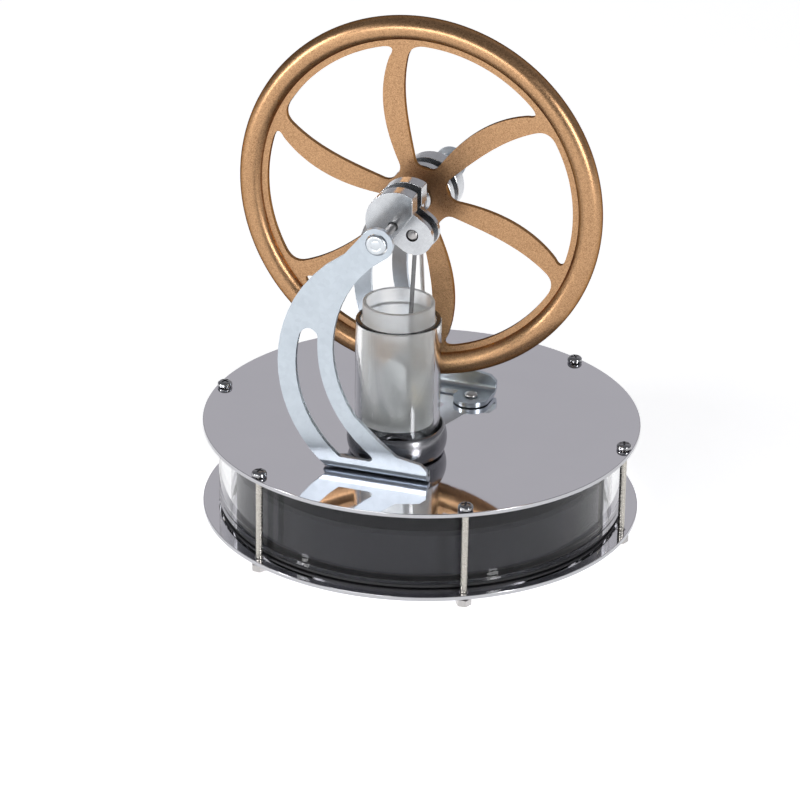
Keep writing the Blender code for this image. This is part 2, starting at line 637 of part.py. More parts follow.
# ---------------------------------------------------------------- flywheel
def spoke_edge(number, side, steps=8):
    """One edge of a curved spoke, from the hub out to the rim."""
    base = SPOKE_RIM_ANGLE + 2 * math.pi * number / SPOKE_COUNT
    points = []
    for index in range(steps + 1):
        radius = OPENING_INNER_RADIUS
        radius += (OPENING_OUTER_RADIUS - OPENING_INNER_RADIUS) * index / steps
        inward = OPENING_OUTER_RADIUS - radius
        angle = base + SPOKE_SWEEP * inward - SPOKE_CURL * inward ** 2
        turn_rate = SPOKE_SWEEP - 2 * SPOKE_CURL * inward
        normal = angle + math.atan2(-turn_rate * radius, 1.0) + math.pi / 2
        width = SPOKE_WIDTH - SPOKE_TAPER * (radius - SPOKE_WIDEST_RADIUS) ** 2
        centre = on_circle(radius, angle)
        offset = on_circle(side * width / 2, normal)
        points.append((centre[0] + offset[0], centre[1] + offset[1]))
    return points


def heading(point):
    return math.atan2(point[1], point[0])


def opening_loop(number):
    """The window between a spoke and the next one, with eased corners."""
    near = spoke_edge(number, 1)
    far = spoke_edge(number + 1, -1)
    near_out, far_out = heading(near[-1]), heading(far[-1])
    if far_out < near_out:
        far_out += 2 * math.pi
    outer = arc((0.0, 0.0), OPENING_OUTER_RADIUS, near_out, far_out, 9)
    near = near[:-1] + [outer[0]]
    far = far[:-1] + [outer[-1]]
    inner = [far[0], near[0]]
    runs = [near, outer, far[::-1], inner]
    return rounded_outline(runs, (0.0036, 0.0036, 0.0019, 0.0019), 4)


def flywheel():
    bore = SHAFT_RADIUS + GAP
    loops = [circle((0.0, 0.0), RIM_CENTRE_RADIUS - 0.0010, 72), circle((0.0, 0.0), bore, 20)]
    loops += [opening_loop(number) for number in range(SPOKE_COUNT)]
    disc = flat("flywheel_web", None, loops, WHEEL_WEB_THICKNESS,
                at(0, WHEEL_Y, SHAFT_Z, FACING_FRONT), CRANK_AXIS)
    section = circle((RIM_CENTRE_RADIUS, 0.0), RIM_TUBE_RADIUS, 10)[::-1]
    wheel = turned("flywheel", BRONZE_PAINT, section, at(0, WHEEL_Y, SHAFT_Z, FACING_FRONT),
                   CRANK_AXIS, 72)
    return combine(wheel, disc, "UNION")


def wheel_hub():
    """The boss on the flywheel's front face that grips the shaft."""
    face = WHEEL_WEB_THICKNESS / 2 + GAP
    bore = SHAFT_RADIUS + GAP
    profile = [(bore, face + 0.0040), (0.0023, face + 0.0040), (0.0027, face + 0.0036),
               (0.0027, face + 0.0010), (0.0034, face + 0.0006), (0.0034, face), (bore, face)]
    hub = turned("wheel_hub", NICKEL, profile, at(0, WHEEL_Y, SHAFT_Z, FACING_FRONT), CRANK_AXIS, 24)
    middle = WHEEL_Y - face - 0.0023
    tapped = drum("grub_hole", None, 0.0008, 0.0, 0.004, at(0, middle, SHAFT_Z), CRANK_AXIS, 12)
    combine(hub, tapped, "DIFFERENCE")
    drum("grub_screw", DARK_CHROME, 0.0005, SHAFT_RADIUS + GAP, 0.0030,
         at(0, middle, SHAFT_Z), CRANK_AXIS, 12)
    return hub


flywheel()
wheel_hub()


# ---------------------------------------------------------------- brackets and bearings
OUTER_ARC_CENTRE = (0.0100, 0.0278)     # across and above the deck
OUTER_ARC_RADIUS = 0.0350
INNER_ARC_CENTRE = (0.0194, 0.0332)
INNER_ARC_RADIUS = 0.0303
OUTER_LIMB = 0.0046                     # width of the limb outside the window
INNER_LIMB = 0.0039
WINDOW_SILL = 0.0041
WINDOW_HEAD = 0.0359
FLARE_START = 0.0155                    # height where the inner edge turns out to the foot
FOOT_SHOULDER = 0.0046


def arc_x(centre, radius, height):
    """Where an arc's left side stands at this height."""
    return centre[0] - math.sqrt(radius ** 2 - (height - centre[1]) ** 2)


def arc_run(centre, radius, low, high, steps):
    points = []
    for index in range(steps + 1):
        height = low + (high - low) * index / steps
        points.append((arc_x(centre, radius, height), height))
    return points


def bracket_outline(below):
    """Front view of a bracket above the deck, from its foot round the eye."""
    left = arc_run(OUTER_ARC_CENTRE, OUTER_ARC_RADIUS, 0.0012, SHAFT_HEIGHT - 0.0006, 18)
    eye = arc((0.0, SHAFT_HEIGHT), EYE_RADIUS, math.radians(150.0), math.radians(-60.0), 18)
    right = arc_run(INNER_ARC_CENTRE, INNER_ARC_RADIUS, SHAFT_HEIGHT - 0.0060, FLARE_START, 14)
    left = [point for point in left if math.dist(point, (0.0, SHAFT_HEIGHT)) > EYE_RADIUS + 0.0008]
    right = [point for point in right if math.dist(point, (0.0, SHAFT_HEIGHT)) > EYE_RADIUS + 0.0008]
    edge = BRACKET_HALF_WIDTH
    flare = [(0.0010, FLARE_START - 0.0056), (0.0057, FLARE_START - 0.0092),
             (edge - 0.0016, FOOT_SHOULDER + 0.0006), (edge, FOOT_SHOULDER - 0.0008)]
    return [(-edge, below)] + [(-edge, 0.0006)] + left + eye + right + flare + [(edge, below)]


def window_outline():
    """The curved window between the two limbs."""
    left_radius = OUTER_ARC_RADIUS - OUTER_LIMB
    right_radius = INNER_ARC_RADIUS + INNER_LIMB
    left = arc_run(OUTER_ARC_CENTRE, left_radius, WINDOW_SILL, WINDOW_HEAD, 12)
    right = arc_run(INNER_ARC_CENTRE, right_radius, WINDOW_HEAD, WINDOW_SILL, 12)
    crown = [left[-1], (left[-1][0] / 2 + right[0][0] / 2, WINDOW_HEAD + 0.0018), right[0]]
    sill = [right[-1], left[0]]
    return rounded_outline([left, crown, right, sill], (0.0010, 0.0010, 0.0016, 0.0004), 4)


def foot_outline(toe, across, spread):
    """Plan of a bracket's foot: local +Y points from the upright to the toe."""
    edge = BRACKET_HALF_WIDTH + 0.0010
    lobe_right = arc((across, toe), spread, math.radians(-10.0), math.radians(170.0), 10)
    lobe_left = [(-x, y) for x, y in lobe_right[::-1]]
    waist = 0.0046
    return [(-edge * 3, -0.004), (edge * 3, -0.004), (edge * 3, 0.0030),
            (BRACKET_HALF_WIDTH, 0.0030)] + lobe_right + [(spread, waist), (-spread, waist)] \
        + lobe_left + [(-BRACKET_HALF_WIDTH, 0.0030), (-edge * 3, 0.0030)]


def bracket(name, plane, inward, rivet, lobe_radius):
    """An upright sheet with a bent foot; inward is the side the foot turns to, 1 for +Y."""
    toe_y = abs(rivet[1] - plane)
    reach = toe_y + lobe_radius + 0.001
    rise = SHAFT_HEIGHT + EYE_RADIUS + 0.001
    outside = BEND_RADIUS + SHEET
    # Side view: the foot along +X, the upright along +Y, one bend between them.
    sheet = [(0.0, rise)]
    sheet += arc((outside, outside), outside, math.pi, 1.5 * math.pi, 6)
    sheet += [(reach, 0.0), (reach, SHEET)]
    sheet += arc((outside, outside), BEND_RADIUS, 1.5 * math.pi, math.pi, 6)
    sheet += [(SHEET, rise)]
    foot_z = DECK + GAP
    mirror = Matrix.Diagonal((1.0, inward, 1.0, 1.0))
    mesh = outline_mesh(name, [sheet], 0.08)
    mesh.transform(mirror @ ALONG_X)
    if inward < 0:
        mesh.flip_normals()
    body = finish(mesh, name, ZINC_SHEET, at(0, plane, foot_z))
    front_view = flat(name + "_front_view", None, [bracket_outline(-0.002)], 0.08,
                      at(0, plane, foot_z - GAP, FACING_FRONT))
    plan_mesh = outline_mesh(name + "_plan", [foot_outline(toe_y, rivet[0], lobe_radius)], 0.16)
    plan_mesh.transform(mirror)
    if inward < 0:
        plan_mesh.flip_normals()
    plan = finish(plan_mesh, name + "_plan", None, at(0, plane, foot_z))
    window = flat(name + "_window", None, [window_outline()], 0.02,
                  at(0, plane, foot_z - GAP, FACING_FRONT))
    eye_hole = flat(name + "_eye_hole", None, [circle((0.0, SHAFT_HEIGHT), BEARING_RADIUS + GAP, 24)],
                    0.02, at(0, plane, foot_z - GAP, FACING_FRONT))
    combine(body, front_view, "INTERSECT")
    combine(body, plan, "INTERSECT")
    combine(body, window, "DIFFERENCE")
    combine(body, eye_hole, "DIFFERENCE")
    for side, word in ((-1, "left"), (1, "right")):
        hole = drum(f"{name}_hole_{word}", None, RIVET_RADIUS + GAP, -0.004, 0.004,
                    at(side * rivet[0], rivet[1], foot_z), None, 12)
        combine(body, hole, "DIFFERENCE")
    return body


bracket("front_bracket", FRONT_BRACKET_Y, 1, RIVET_PLACES["front"], 0.0032)
bracket("rear_bracket", REAR_BRACKET_Y, -1, RIVET_PLACES["rear"], 0.0046)


def bearing(name, plane, inward):
    """A plain bearing pressed in a bracket's eye; its closed end is on the outer face."""
    bore = SHAFT_RADIUS + GAP
    back = SHEET + 0.0012
    floor = -BEARING_BORE_FLOOR
    profile = [(0.0, 0.0007), (0.0022, 0.0007), (BEARING_RADIUS, 0.0004), (BEARING_RADIUS, -back),
               (bore, -back), (bore, floor), (0.0, floor)]
    turn = FACING_FRONT if inward > 0 else FACING_FRONT.inverted()
    return turned(name, NICKEL, profile, at(0, plane, SHAFT_Z, turn), steps=24, closed=False)


bearing("front_bearing", FRONT_BRACKET_Y, 1)
bearing("rear_bearing", REAR_BRACKET_Y, -1)


def foot_rivet(name, spot):
    """A pan-head rivet through a bracket's foot and the top plate."""
    head = DECK + GAP + SHEET + GAP
    end = TOP_PLATE_BOTTOM - 0.0005
    profile = [(0.0, head + 0.0008), (0.0009, head + 0.0007), (0.0015, head + 0.0003),
               (0.0016, head), (RIVET_RADIUS, head), (RIVET_RADIUS, end), (0.0, end)]
    return turned(name, SCREW_STEEL, profile, at(*spot, 0), steps=12, closed=False)


for end_name, (across, depth) in RIVET_PLACES.items():
    foot_rivet(f"{end_name}_foot_rivet_left", (-across, depth))
    foot_rivet(f"{end_name}_foot_rivet_right", (across, depth))

bpy.context.view_layer.update()
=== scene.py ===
# %% [markdown]
# # A cup-top hot-air engine
#
# The engine has two round steel plates with a clear chamber between them. A glass power cylinder
# stands on the upper plate, and two curved sheet brackets carry a cranked shaft and a bronze
# flywheel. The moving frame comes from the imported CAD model, in metres. This lesson dresses it:
# finer pieces where the CAD is coarse, and a real finish on every surface.

# %% Load the frame
import json
import math

import bmesh
import bpy
from mathutils import Matrix, Vector


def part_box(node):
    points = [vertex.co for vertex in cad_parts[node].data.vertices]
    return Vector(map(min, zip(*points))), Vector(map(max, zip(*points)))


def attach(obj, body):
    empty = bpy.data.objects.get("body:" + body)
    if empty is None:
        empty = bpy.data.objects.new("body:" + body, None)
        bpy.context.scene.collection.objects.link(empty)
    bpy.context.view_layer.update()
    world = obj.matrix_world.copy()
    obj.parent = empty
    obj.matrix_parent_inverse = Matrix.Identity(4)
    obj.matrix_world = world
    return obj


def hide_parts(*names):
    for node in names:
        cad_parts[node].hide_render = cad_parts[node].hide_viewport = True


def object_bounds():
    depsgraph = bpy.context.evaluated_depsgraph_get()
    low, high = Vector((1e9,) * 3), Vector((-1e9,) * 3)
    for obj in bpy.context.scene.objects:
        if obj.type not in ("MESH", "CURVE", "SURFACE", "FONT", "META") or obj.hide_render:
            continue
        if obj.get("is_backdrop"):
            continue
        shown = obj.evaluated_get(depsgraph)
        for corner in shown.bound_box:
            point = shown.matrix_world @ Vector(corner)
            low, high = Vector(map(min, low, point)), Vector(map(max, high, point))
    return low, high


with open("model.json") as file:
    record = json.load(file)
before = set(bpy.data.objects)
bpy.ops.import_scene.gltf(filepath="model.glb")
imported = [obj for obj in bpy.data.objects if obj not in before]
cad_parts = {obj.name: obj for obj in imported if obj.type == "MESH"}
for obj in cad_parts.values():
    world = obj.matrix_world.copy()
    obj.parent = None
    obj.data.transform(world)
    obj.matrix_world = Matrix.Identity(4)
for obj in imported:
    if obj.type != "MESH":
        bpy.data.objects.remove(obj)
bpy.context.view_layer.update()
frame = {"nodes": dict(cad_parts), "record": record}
NODES = frame["nodes"]

# %% [markdown]
# ## Camera, floor and light
#
# A long lens from a little above the plates keeps the circles calm. A short lens would swell the
# near edge of the plates, and a lens from straight ahead would hide their tops.

# %% Camera
LOOK_AT = Vector((-0.00579, -0.00009, 0.03008))
AZIMUTH = math.radians(18.415)
ELEVATION = math.radians(24.97)
ROLL = math.radians(0.872)
DISTANCE = 1.0643

back = Vector((math.sin(AZIMUTH) * math.cos(ELEVATION), -math.cos(AZIMUTH) * math.cos(ELEVATION),
               math.sin(ELEVATION)))
lens = bpy.data.cameras.new("camera")
lens.lens = 190.5
lens.sensor_width = 36.0
lens.clip_start, lens.clip_end = 0.05, 50.0
camera = bpy.data.objects.new("camera", lens)
bpy.context.scene.collection.objects.link(camera)
camera.matrix_world = (Matrix.Translation(LOOK_AT + back * DISTANCE)
                       @ (-back).to_track_quat("-Z", "Y").to_matrix().to_4x4()
                       @ Matrix.Rotation(ROLL, 4, "Z"))
bpy.context.scene.camera = camera
bpy.context.scene.view_settings.view_transform = "Standard"
print("camera at", [round(v, 3) for v in camera.location])


# %% [markdown]
# The floor is pale, runs on past the horizon and glows a little, so the engine seems to stand in
# plain white. Bright metal shows what is round it. One lamp would give it hard spots and a bare
# white room would leave it without shape, so three low soft panels stand before it: two narrow
# upright ones give long clean lines on the glass, and a wide one draws the line round the rim.

# %% Floor and panels
FLOOR_DROP = 0.0002                     # the floor lies this far under the screw tips


def deselect():
    if bpy.context.object and bpy.context.object.mode != "OBJECT":
        bpy.ops.object.mode_set(mode="OBJECT")
    bpy.ops.object.select_all(action="DESELECT")


deselect()
bpy.ops.mesh.primitive_plane_add(size=12.0, location=(0.0, 0.0, -FLOOR_DROP))
floor = bpy.context.object
floor.name = "floor"
floor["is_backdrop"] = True


def panel(name, place, size, power):
    """A soft rectangular light at place, turned towards the middle of the engine."""
    light = bpy.data.lights.new(name, "AREA")
    light.shape = "RECTANGLE"
    light.size, light.size_y = size
    light.energy = power
    lamp = bpy.data.objects.new(name, light)
    bpy.context.scene.collection.objects.link(lamp)
    turn = (MIDDLE - Vector(place)).to_track_quat("-Z", "Y").to_matrix().to_4x4()
    lamp.matrix_world = Matrix.Translation(place) @ turn


MIDDLE = Vector((0.0, 0.0, 0.07))
panel("panel_left", (-0.95, -0.75, 0.35), (0.10, 0.6), 5.0)
panel("panel_right", (1.10, -0.60, 0.40), (0.14, 0.6), 6.0)
panel("panel_front", (-0.30, -1.45, 0.42), (0.8, 0.30), 6.5)
print("floor and", len(bpy.data.lights), "panels ready")


# %% [markdown]
# ## Writing finishes as sums
#
# Each finish is a node tree, but long chains of Math nodes are hard to read. A small class wraps
# a node's output so that `1 - wear * 0.3` adds the Math nodes by itself. Colours go through Mix
# nodes instead, because a Math node would turn them grey.

# %% The socket class and the finish class
class Amount:
    """An output socket that can be used in sums."""

    def __init__(self, finish, socket):
        self.finish = finish
        self.socket = socket

    def sum_node(self, operation, left, right):
        return self.finish.node("ShaderNodeMath", {"operation": operation}, {0: left, 1: right})

    def __add__(self, other):
        return self.sum_node("ADD", self, other)

    def __radd__(self, other):
        return self.sum_node("ADD", other, self)

    def __sub__(self, other):
        return self.sum_node("SUBTRACT", self, other)

    def __rsub__(self, other):
        return self.sum_node("SUBTRACT", other, self)

    def __mul__(self, other):
        return self.sum_node("MULTIPLY", self, other)

    def __rmul__(self, other):
        return self.sum_node("MULTIPLY", other, self)

    def __pow__(self, other):
        return self.sum_node("POWER", self, other)

    def between(self, low, high):
        """0 at low and under, 1 at high and over, smooth in between."""
        return self.finish.node("ShaderNodeMapRange", {"interpolation_type": "SMOOTHSTEP"},
                                {"Value": self, "From Min": low, "From Max": high})


class Finish:
    """A material built round one Principled shader."""

    def __init__(self, name, **constants):
        self.material = bpy.data.materials.new(name)
        self.material.use_nodes = True
        self.tree = self.material.node_tree
        self.shader = self.tree.nodes["Principled BSDF"]
        for socket, value in constants.items():
            self.shader.inputs[socket.replace("_", " ")].default_value = value
        self.place = self.node("ShaderNodeTexCoord", output="Object")

    def node(self, kind, settings=None, inputs=None, output=0):
        """Any node: its settings are set first, then the values or links of its sockets."""
        made = self.tree.nodes.new(kind)
        for key, value in (settings or {}).items():
            setattr(made, key, value)
        for key, value in (inputs or {}).items():
            self.plug(made.inputs[key], value)
        return Amount(self, made.outputs[output])

    def plug(self, socket, value):
        if isinstance(value, Amount):
            self.tree.links.new(value.socket, socket)
        else:
            socket.default_value = value

    def moved(self, shift=(0.0, 0.0, 0.0), turn=(0.0, 0.0, 0.0), stretch=(1.0, 1.0, 1.0)):
        """The object's own coordinates, shifted, turned or stretched."""
        return self.node("ShaderNodeMapping", {}, {"Vector": self.place, "Location": shift,
                                                   "Rotation": turn, "Scale": stretch})

    def noise(self, scale, detail=3.0, rough=0.5, where=None):
        return self.node("ShaderNodeTexNoise", {}, {"Vector": where or self.place, "Scale": scale,
                                                    "Detail": detail, "Roughness": rough})

    def cells(self, scale):
        """A shade from 0 to 1 that is even inside each small cell."""
        colours = self.node("ShaderNodeTexVoronoi", {}, {"Vector": self.place, "Scale": scale}, "Color")
        return self.axes(colours)[0]

    def axes(self, where=None):
        split = self.node("ShaderNodeSeparateXYZ", {}, {0: where or self.place})
        outputs = split.socket.node.outputs
        return tuple(Amount(self, outputs[index]) for index in range(3))

    def length(self, across, up):
        return (across * across + up * up) ** 0.5

    def mixed(self, share, low, high):
        """A colour between two colours; either may itself be a mix."""
        low = low if isinstance(low, Amount) else (*low, 1.0)
        high = high if isinstance(high, Amount) else (*high, 1.0)
        return self.node("ShaderNodeMix", {"data_type": "RGBA"}, {0: share, 6: low, 7: high}, 2)

    def bump(self, height, depth, strength, under=None):
        """Relief of this depth in metres, laid over another relief if one is given."""
        inputs = {"Height": height, "Distance": depth, "Strength": strength}
        if under:
            inputs["Normal"] = under
        return self.node("ShaderNodeBump", {}, inputs)

    def wears(self, **links):
        """Plugs what varies into the shader, by the name of each socket."""
        for socket, value in links.items():
            self.plug(self.shader.inputs[socket.replace("_", " ")], value)


print("finish tools ready")

# %% [markdown]
# ## The steel finishes
#
# The plates are sheet steel polished almost to a mirror. A mirror of one even grey looks false, so
# the roughness wanders a little, as a cloth leaves it, and very fine scratches run both ways. An
# image of scratches could do it too, but noise has no seams and needs no file. The cut edge stays
# duller and darker than the face.

# %% Polished plate
polished = Finish("polished_steel", Metallic=1.0)
cloud = polished.noise(60.0, 3.0, 0.55)
fine = polished.noise(900.0, 2.0, 0.6, polished.moved(stretch=(1.0, 0.06, 1.0), turn=(0, 0, 0.35)))
across = polished.noise(700.0, 2.0, 0.6, polished.moved(stretch=(0.06, 1.0, 1.0), turn=(0, 0, 0.2)))
PLATE_RADIUS = 0.055
px, py = polished.axes()[:2]
edge = polished.length(px, py).between(PLATE_RADIUS - 0.00025, PLATE_RADIUS - 0.0001)
grey = polished.mixed(cloud, (0.845, 0.84, 0.88), (0.885, 0.88, 0.915))
polished.wears(Base_Color=polished.mixed(edge, grey, (0.50, 0.50, 0.52)),
               Roughness=0.030 + cloud * 0.02 + fine * 0.015 + edge * 0.15,
               Normal=polished.bump(fine + across, 0.000002, 0.08))
print("polished steel:", len(polished.tree.nodes), "nodes")


# %% [markdown]
# Zinc plate is paler and bluer than steel, and its crystals make a soft, cloudy mottle. The
# cells and a haze vary both colour and roughness, and a faint relief breaks up the reflection.
# Cells alone would look like tiles, so the haze does most of the work.

# %% Zinc-plated sheet
zinc = Finish("zinc_plated_sheet", Metallic=1.0)
crystals = zinc.cells(900.0)
haze = zinc.noise(220.0, 4.0, 0.6)
pits = zinc.noise(2600.0, 2.0, 0.5)
zinc_tone = crystals * 0.25 + haze * 0.75
zinc.wears(Base_Color=zinc.mixed(zinc_tone, (0.46, 0.51, 0.56), (0.60, 0.66, 0.715)),
           Roughness=0.27 + zinc_tone * 0.07,
           Normal=zinc.bump(haze + pits * 0.3, 0.000003, 0.12))
print("zinc plate:", len(zinc.tree.nodes), "nodes")


# %% [markdown]
# Nickel, black chrome and drawn steel are the small bright parts. They differ in colour, in gloss
# and in the way the grain runs: turned parts carry fine rings and drawn wire has its lines along
# its length. One function makes them all, with the grain as a noise stretched one way.

# %% Small metal finishes
def bright_metal(name, dark, light, rough, spread, stretch, depth=0.000003):
    """Plated or turned metal; stretch squeezes the grain along one way."""
    finish = Finish(name, Metallic=1.0)
    grain = finish.noise(1500.0, 3.0, 0.6, finish.moved(stretch=stretch))
    smudge = finish.noise(260.0, 2.0, 0.5)
    finish.wears(Base_Color=finish.mixed(smudge * 0.6 + grain * 0.4, dark, light),
                 Roughness=rough + smudge * spread + grain * spread,
                 Normal=finish.bump(grain, depth, 0.3))
    return finish


EVEN, DRAWN, RINGS = (1.0, 1.0, 1.0), (1.0, 1.0, 0.05), (0.2, 0.2, 3.0)
nickel = bright_metal("nickel", (0.40, 0.41, 0.43), (0.76, 0.78, 0.80), 0.15, 0.07, EVEN, 0.0000015)
bearing_metal = bright_metal("bearing_metal", (0.50, 0.53, 0.56), (0.72, 0.76, 0.79), 0.28, 0.06, EVEN,
                             0.000001)
dark_chrome = bright_metal("dark_chrome", (0.16, 0.16, 0.17), (0.56, 0.56, 0.57), 0.10, 0.08, EVEN)
collar_chrome = bright_metal("collar_chrome", (0.15, 0.15, 0.16), (0.38, 0.38, 0.40), 0.17, 0.08, RINGS)
drawn_steel = bright_metal("drawn_steel", (0.34, 0.33, 0.33), (0.62, 0.60, 0.58), 0.22, 0.10, DRAWN)
dark_wire = bright_metal("dark_wire", (0.10, 0.10, 0.10), (0.26, 0.26, 0.27), 0.20, 0.08, DRAWN)
brass = bright_metal("brass", (0.55, 0.38, 0.14), (0.78, 0.60, 0.28), 0.18, 0.10, RINGS)
print("nickel, chrome, drawn steel and brass ready")


# %% [markdown]
# The clamp screws are threaded for their whole length, with a pitch under half a millimetre. Cut
# threads would be thousands of faces that nobody can tell apart, so a sine wave in height gives
# the ridges as relief.

# %% Threaded screw steel
THREAD_PITCH = 0.00040
thread_steel = Finish("thread_steel", Metallic=1.0)
ridge = thread_steel.axes()[2] * (2 * math.pi / THREAD_PITCH)
wave = thread_steel.node("ShaderNodeMath", {"operation": "SINE"}, {0: ridge})
scuff = thread_steel.noise(1800.0, 3.0, 0.6)
thread_steel.wears(Base_Color=thread_steel.mixed(scuff, (0.36, 0.34, 0.31), (0.66, 0.63, 0.57)),
                   Roughness=0.20 + scuff * 0.14,
                   Normal=thread_steel.bump(wave * 0.5 + 0.5, 0.00004, 0.8))
print("screw steel ready, pitch", THREAD_PITCH * 1000, "mm")

# %% [markdown]
# ## Bronze paint
#
# The flywheel is die-cast and sprayed in bronze metallic paint. The flakes are the finish: each is
# a tiny cell with its own lightness, and it tips the surface a little, so the paint sparkles under
# a panel. A very slight orange peel lies over it. Round the boss the paint is darkened, a painted
# reflection of the dark crank. The paint could be a clear coat over a metal, but one metal whose
# grazing tint is dark gives the brown outline of the bead with less to tune.

# %% Bronze paint
SHAFT_Z = (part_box("flywheel")[0].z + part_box("flywheel")[1].z) / 2
bronze = Finish("bronze_paint", Metallic=1.0, Specular_Tint=(0.03, 0.02, 0.015, 1.0))
flake = bronze.cells(5200.0)
tiny = bronze.noise(9000.0, 1.0, 0.5)
peel = bronze.noise(700.0, 2.0, 0.5)
patch = bronze.noise(45.0, 2.0, 0.5)
REFLECTION_FULL_RADIUS, REFLECTION_GONE_RADIUS = 0.004, 0.013  # the painted reflection of the crank is full inside the first, and gone past the second
bx, _, bz = bronze.axes(bronze.moved(shift=(0.0, 0.0, -SHAFT_Z)))
# painted reflection: 1 round the boss, fading out towards the rim, where the dark crank is reflected
boss = 1 - bronze.length(bx, bz).between(REFLECTION_FULL_RADIUS, REFLECTION_GONE_RADIUS)
sparkle = flake * 0.55 + tiny * 0.30 + patch * 0.15
paint = bronze.mixed(sparkle, (0.25, 0.130, 0.062), (0.68, 0.410, 0.220))
# the base colour darkens round the boss: a painted reflection of the dark crank
bronze.wears(Base_Color=bronze.mixed(boss * 0.45, paint, (0.20, 0.11, 0.06)),
             Roughness=0.25 + flake * 0.08 + tiny * 0.05,
             Normal=bronze.bump(peel, 0.00003, 0.10, bronze.bump(flake + tiny * 0.6, 0.000006, 0.35)))
print("bronze paint:", len(bronze.tree.nodes), "nodes")

# %% [markdown]
# ## Glass, acrylic, foam and rubber
#
# Clear parts need an index of refraction and almost no roughness. The acrylic's index is set low,
# so that the white floor's reflection doesn't veil what stands inside it. The piston is ground
# glass: it lets light in but scatters it, so it is clear glass with a rough surface, where a white
# paint would look dead.

# %% Clear and frosted parts
cylinder_clear = Finish("cylinder_glass", Transmission_Weight=1.0, IOR=1.47)
film = cylinder_clear.noise(300.0, 3.0, 0.5)
cylinder_clear.wears(Base_Color=cylinder_clear.mixed(film, (0.95, 0.965, 0.965), (1.0, 1.0, 1.0)),
                     Roughness=film * 0.02)

acrylic = Finish("clear_acrylic", Transmission_Weight=1.0, IOR=1.25)
wipe = acrylic.noise(500.0, 3.0, 0.6, acrylic.moved(stretch=(1.0, 1.0, 0.15)))
acrylic.wears(Base_Color=acrylic.mixed(wipe, (0.97, 0.98, 0.985), (1.0, 1.0, 1.0)),
              Roughness=wipe * 0.008)

frosted = Finish("frosted_glass", Transmission_Weight=0.96, IOR=1.30)
bloom = frosted.noise(420.0, 4.0, 0.6)
grind = frosted.noise(1600.0, 2.0, 0.6, frosted.moved(stretch=(1.0, 1.0, 0.12)))
frosted.wears(Base_Color=frosted.mixed(bloom * 0.5 + grind * 0.5, (0.86, 0.86, 0.855), (0.96, 0.96, 0.955)),
              Roughness=0.30 + bloom * 0.12,
              Normal=frosted.bump(grind, 0.000006, 0.25))
print("clear acrylic, cylinder glass and frosted glass ready")

# %% [markdown]
# The displacer is dark rigid foam, seen through the acrylic, with a fine grain. The seals are plain
# black rubber with a dusty bloom. Both would be flat black patches without some noise in their
# colour and their gloss.

# %% Foam and rubber
foam = Finish("dark_foam", Metallic=0.0, Specular_IOR_Level=0.12)
speck = foam.cells(1500.0)
dust = foam.noise(3500.0, 3.0, 0.7)
cloudy = foam.noise(90.0, 3.0, 0.5)
foam_tone = speck * 0.2 + dust * 0.45 + cloudy * 0.35
foam.wears(Base_Color=foam.mixed(foam_tone, (0.002, 0.002, 0.003), (0.024, 0.024, 0.029)),
           Roughness=0.42 + dust * 0.25,
           Normal=foam.bump(dust + speck * 0.5, 0.00003, 0.35))

rubber = Finish("black_rubber", Metallic=0.0)
powder = rubber.noise(1200.0, 3.0, 0.6)
rubber.wears(Base_Color=rubber.mixed(powder, (0.008, 0.008, 0.009), (0.030, 0.030, 0.032)),
             Roughness=0.50 + powder * 0.2,
             Normal=rubber.bump(powder, 0.00001, 0.3))
print("foam and rubber ready")


# %% [markdown]
# Light that passes through two walls of glass would need caustics, which are slow and noisy. For
# the rays that look for a lamp, the glass is therefore plainly transparent with a slight tint.

# %% Lamplight inside the glass
def lets_lamps_through(finish, tint):
    """Light from lamps passes straight through this glass, so what stands inside is lit."""
    tree = finish.tree
    ray = tree.nodes.new("ShaderNodeLightPath")
    clear = tree.nodes.new("ShaderNodeBsdfTransparent")
    clear.inputs["Color"].default_value = (*tint, 1.0)
    choice = tree.nodes.new("ShaderNodeMixShader")
    tree.links.new(ray.outputs["Is Shadow Ray"], choice.inputs["Fac"])
    tree.links.new(finish.shader.outputs[0], choice.inputs[1])
    tree.links.new(clear.outputs[0], choice.inputs[2])
    tree.links.new(choice.outputs[0], tree.nodes["Material Output"].inputs["Surface"])


lets_lamps_through(cylinder_clear, (0.92, 0.94, 0.94))
lets_lamps_through(acrylic, (0.94, 0.95, 0.96))
lets_lamps_through(frosted, (0.70, 0.70, 0.69))
print("lamplight reaches the inside of the glass")

# %% [markdown]
# ## Floor paper and room
#
# The floor is matt white paper that glows a little, because paper lit by panels alone comes out
# grey far from them. The room is a dim grey in front and paler behind, and the polished plates
# show the part behind. A ramp over the direction's Y gives that change.

# %% Floor paper and room light
paper = Finish("floor_paper", Roughness=0.9, Specular_IOR_Level=0.1,
               Emission_Color=(1.0, 1.0, 1.0, 1.0), Emission_Strength=0.68)
fibre = paper.noise(80.0, 3.0, 0.6)
paper.wears(Base_Color=paper.mixed(fibre, (0.80, 0.80, 0.803), (0.83, 0.83, 0.833)))
floor.data.materials.append(paper.material)

room = bpy.data.worlds.new("room")
bpy.context.scene.world = room
room.use_nodes = True
sky = room.node_tree
sky_place = sky.nodes.new("ShaderNodeTexCoord")
sky_split = sky.nodes.new("ShaderNodeSeparateXYZ")
sky_ramp = sky.nodes.new("ShaderNodeValToRGB")
sky.links.new(sky_place.outputs["Generated"], sky_split.inputs[0])
sky.links.new(sky_split.outputs["Y"], sky_ramp.inputs["Fac"])
sky.links.new(sky_ramp.outputs["Color"], sky.nodes["Background"].inputs["Color"])
stops = sky_ramp.color_ramp.elements
stops[0].position, stops[0].color = 0.30, (0.20, 0.205, 0.22, 1.0)
stops[1].position, stops[1].color = 0.75, (0.435, 0.428, 0.450, 1.0)
sky.nodes["Background"].inputs["Strength"].default_value = 1.0
print("room ready")


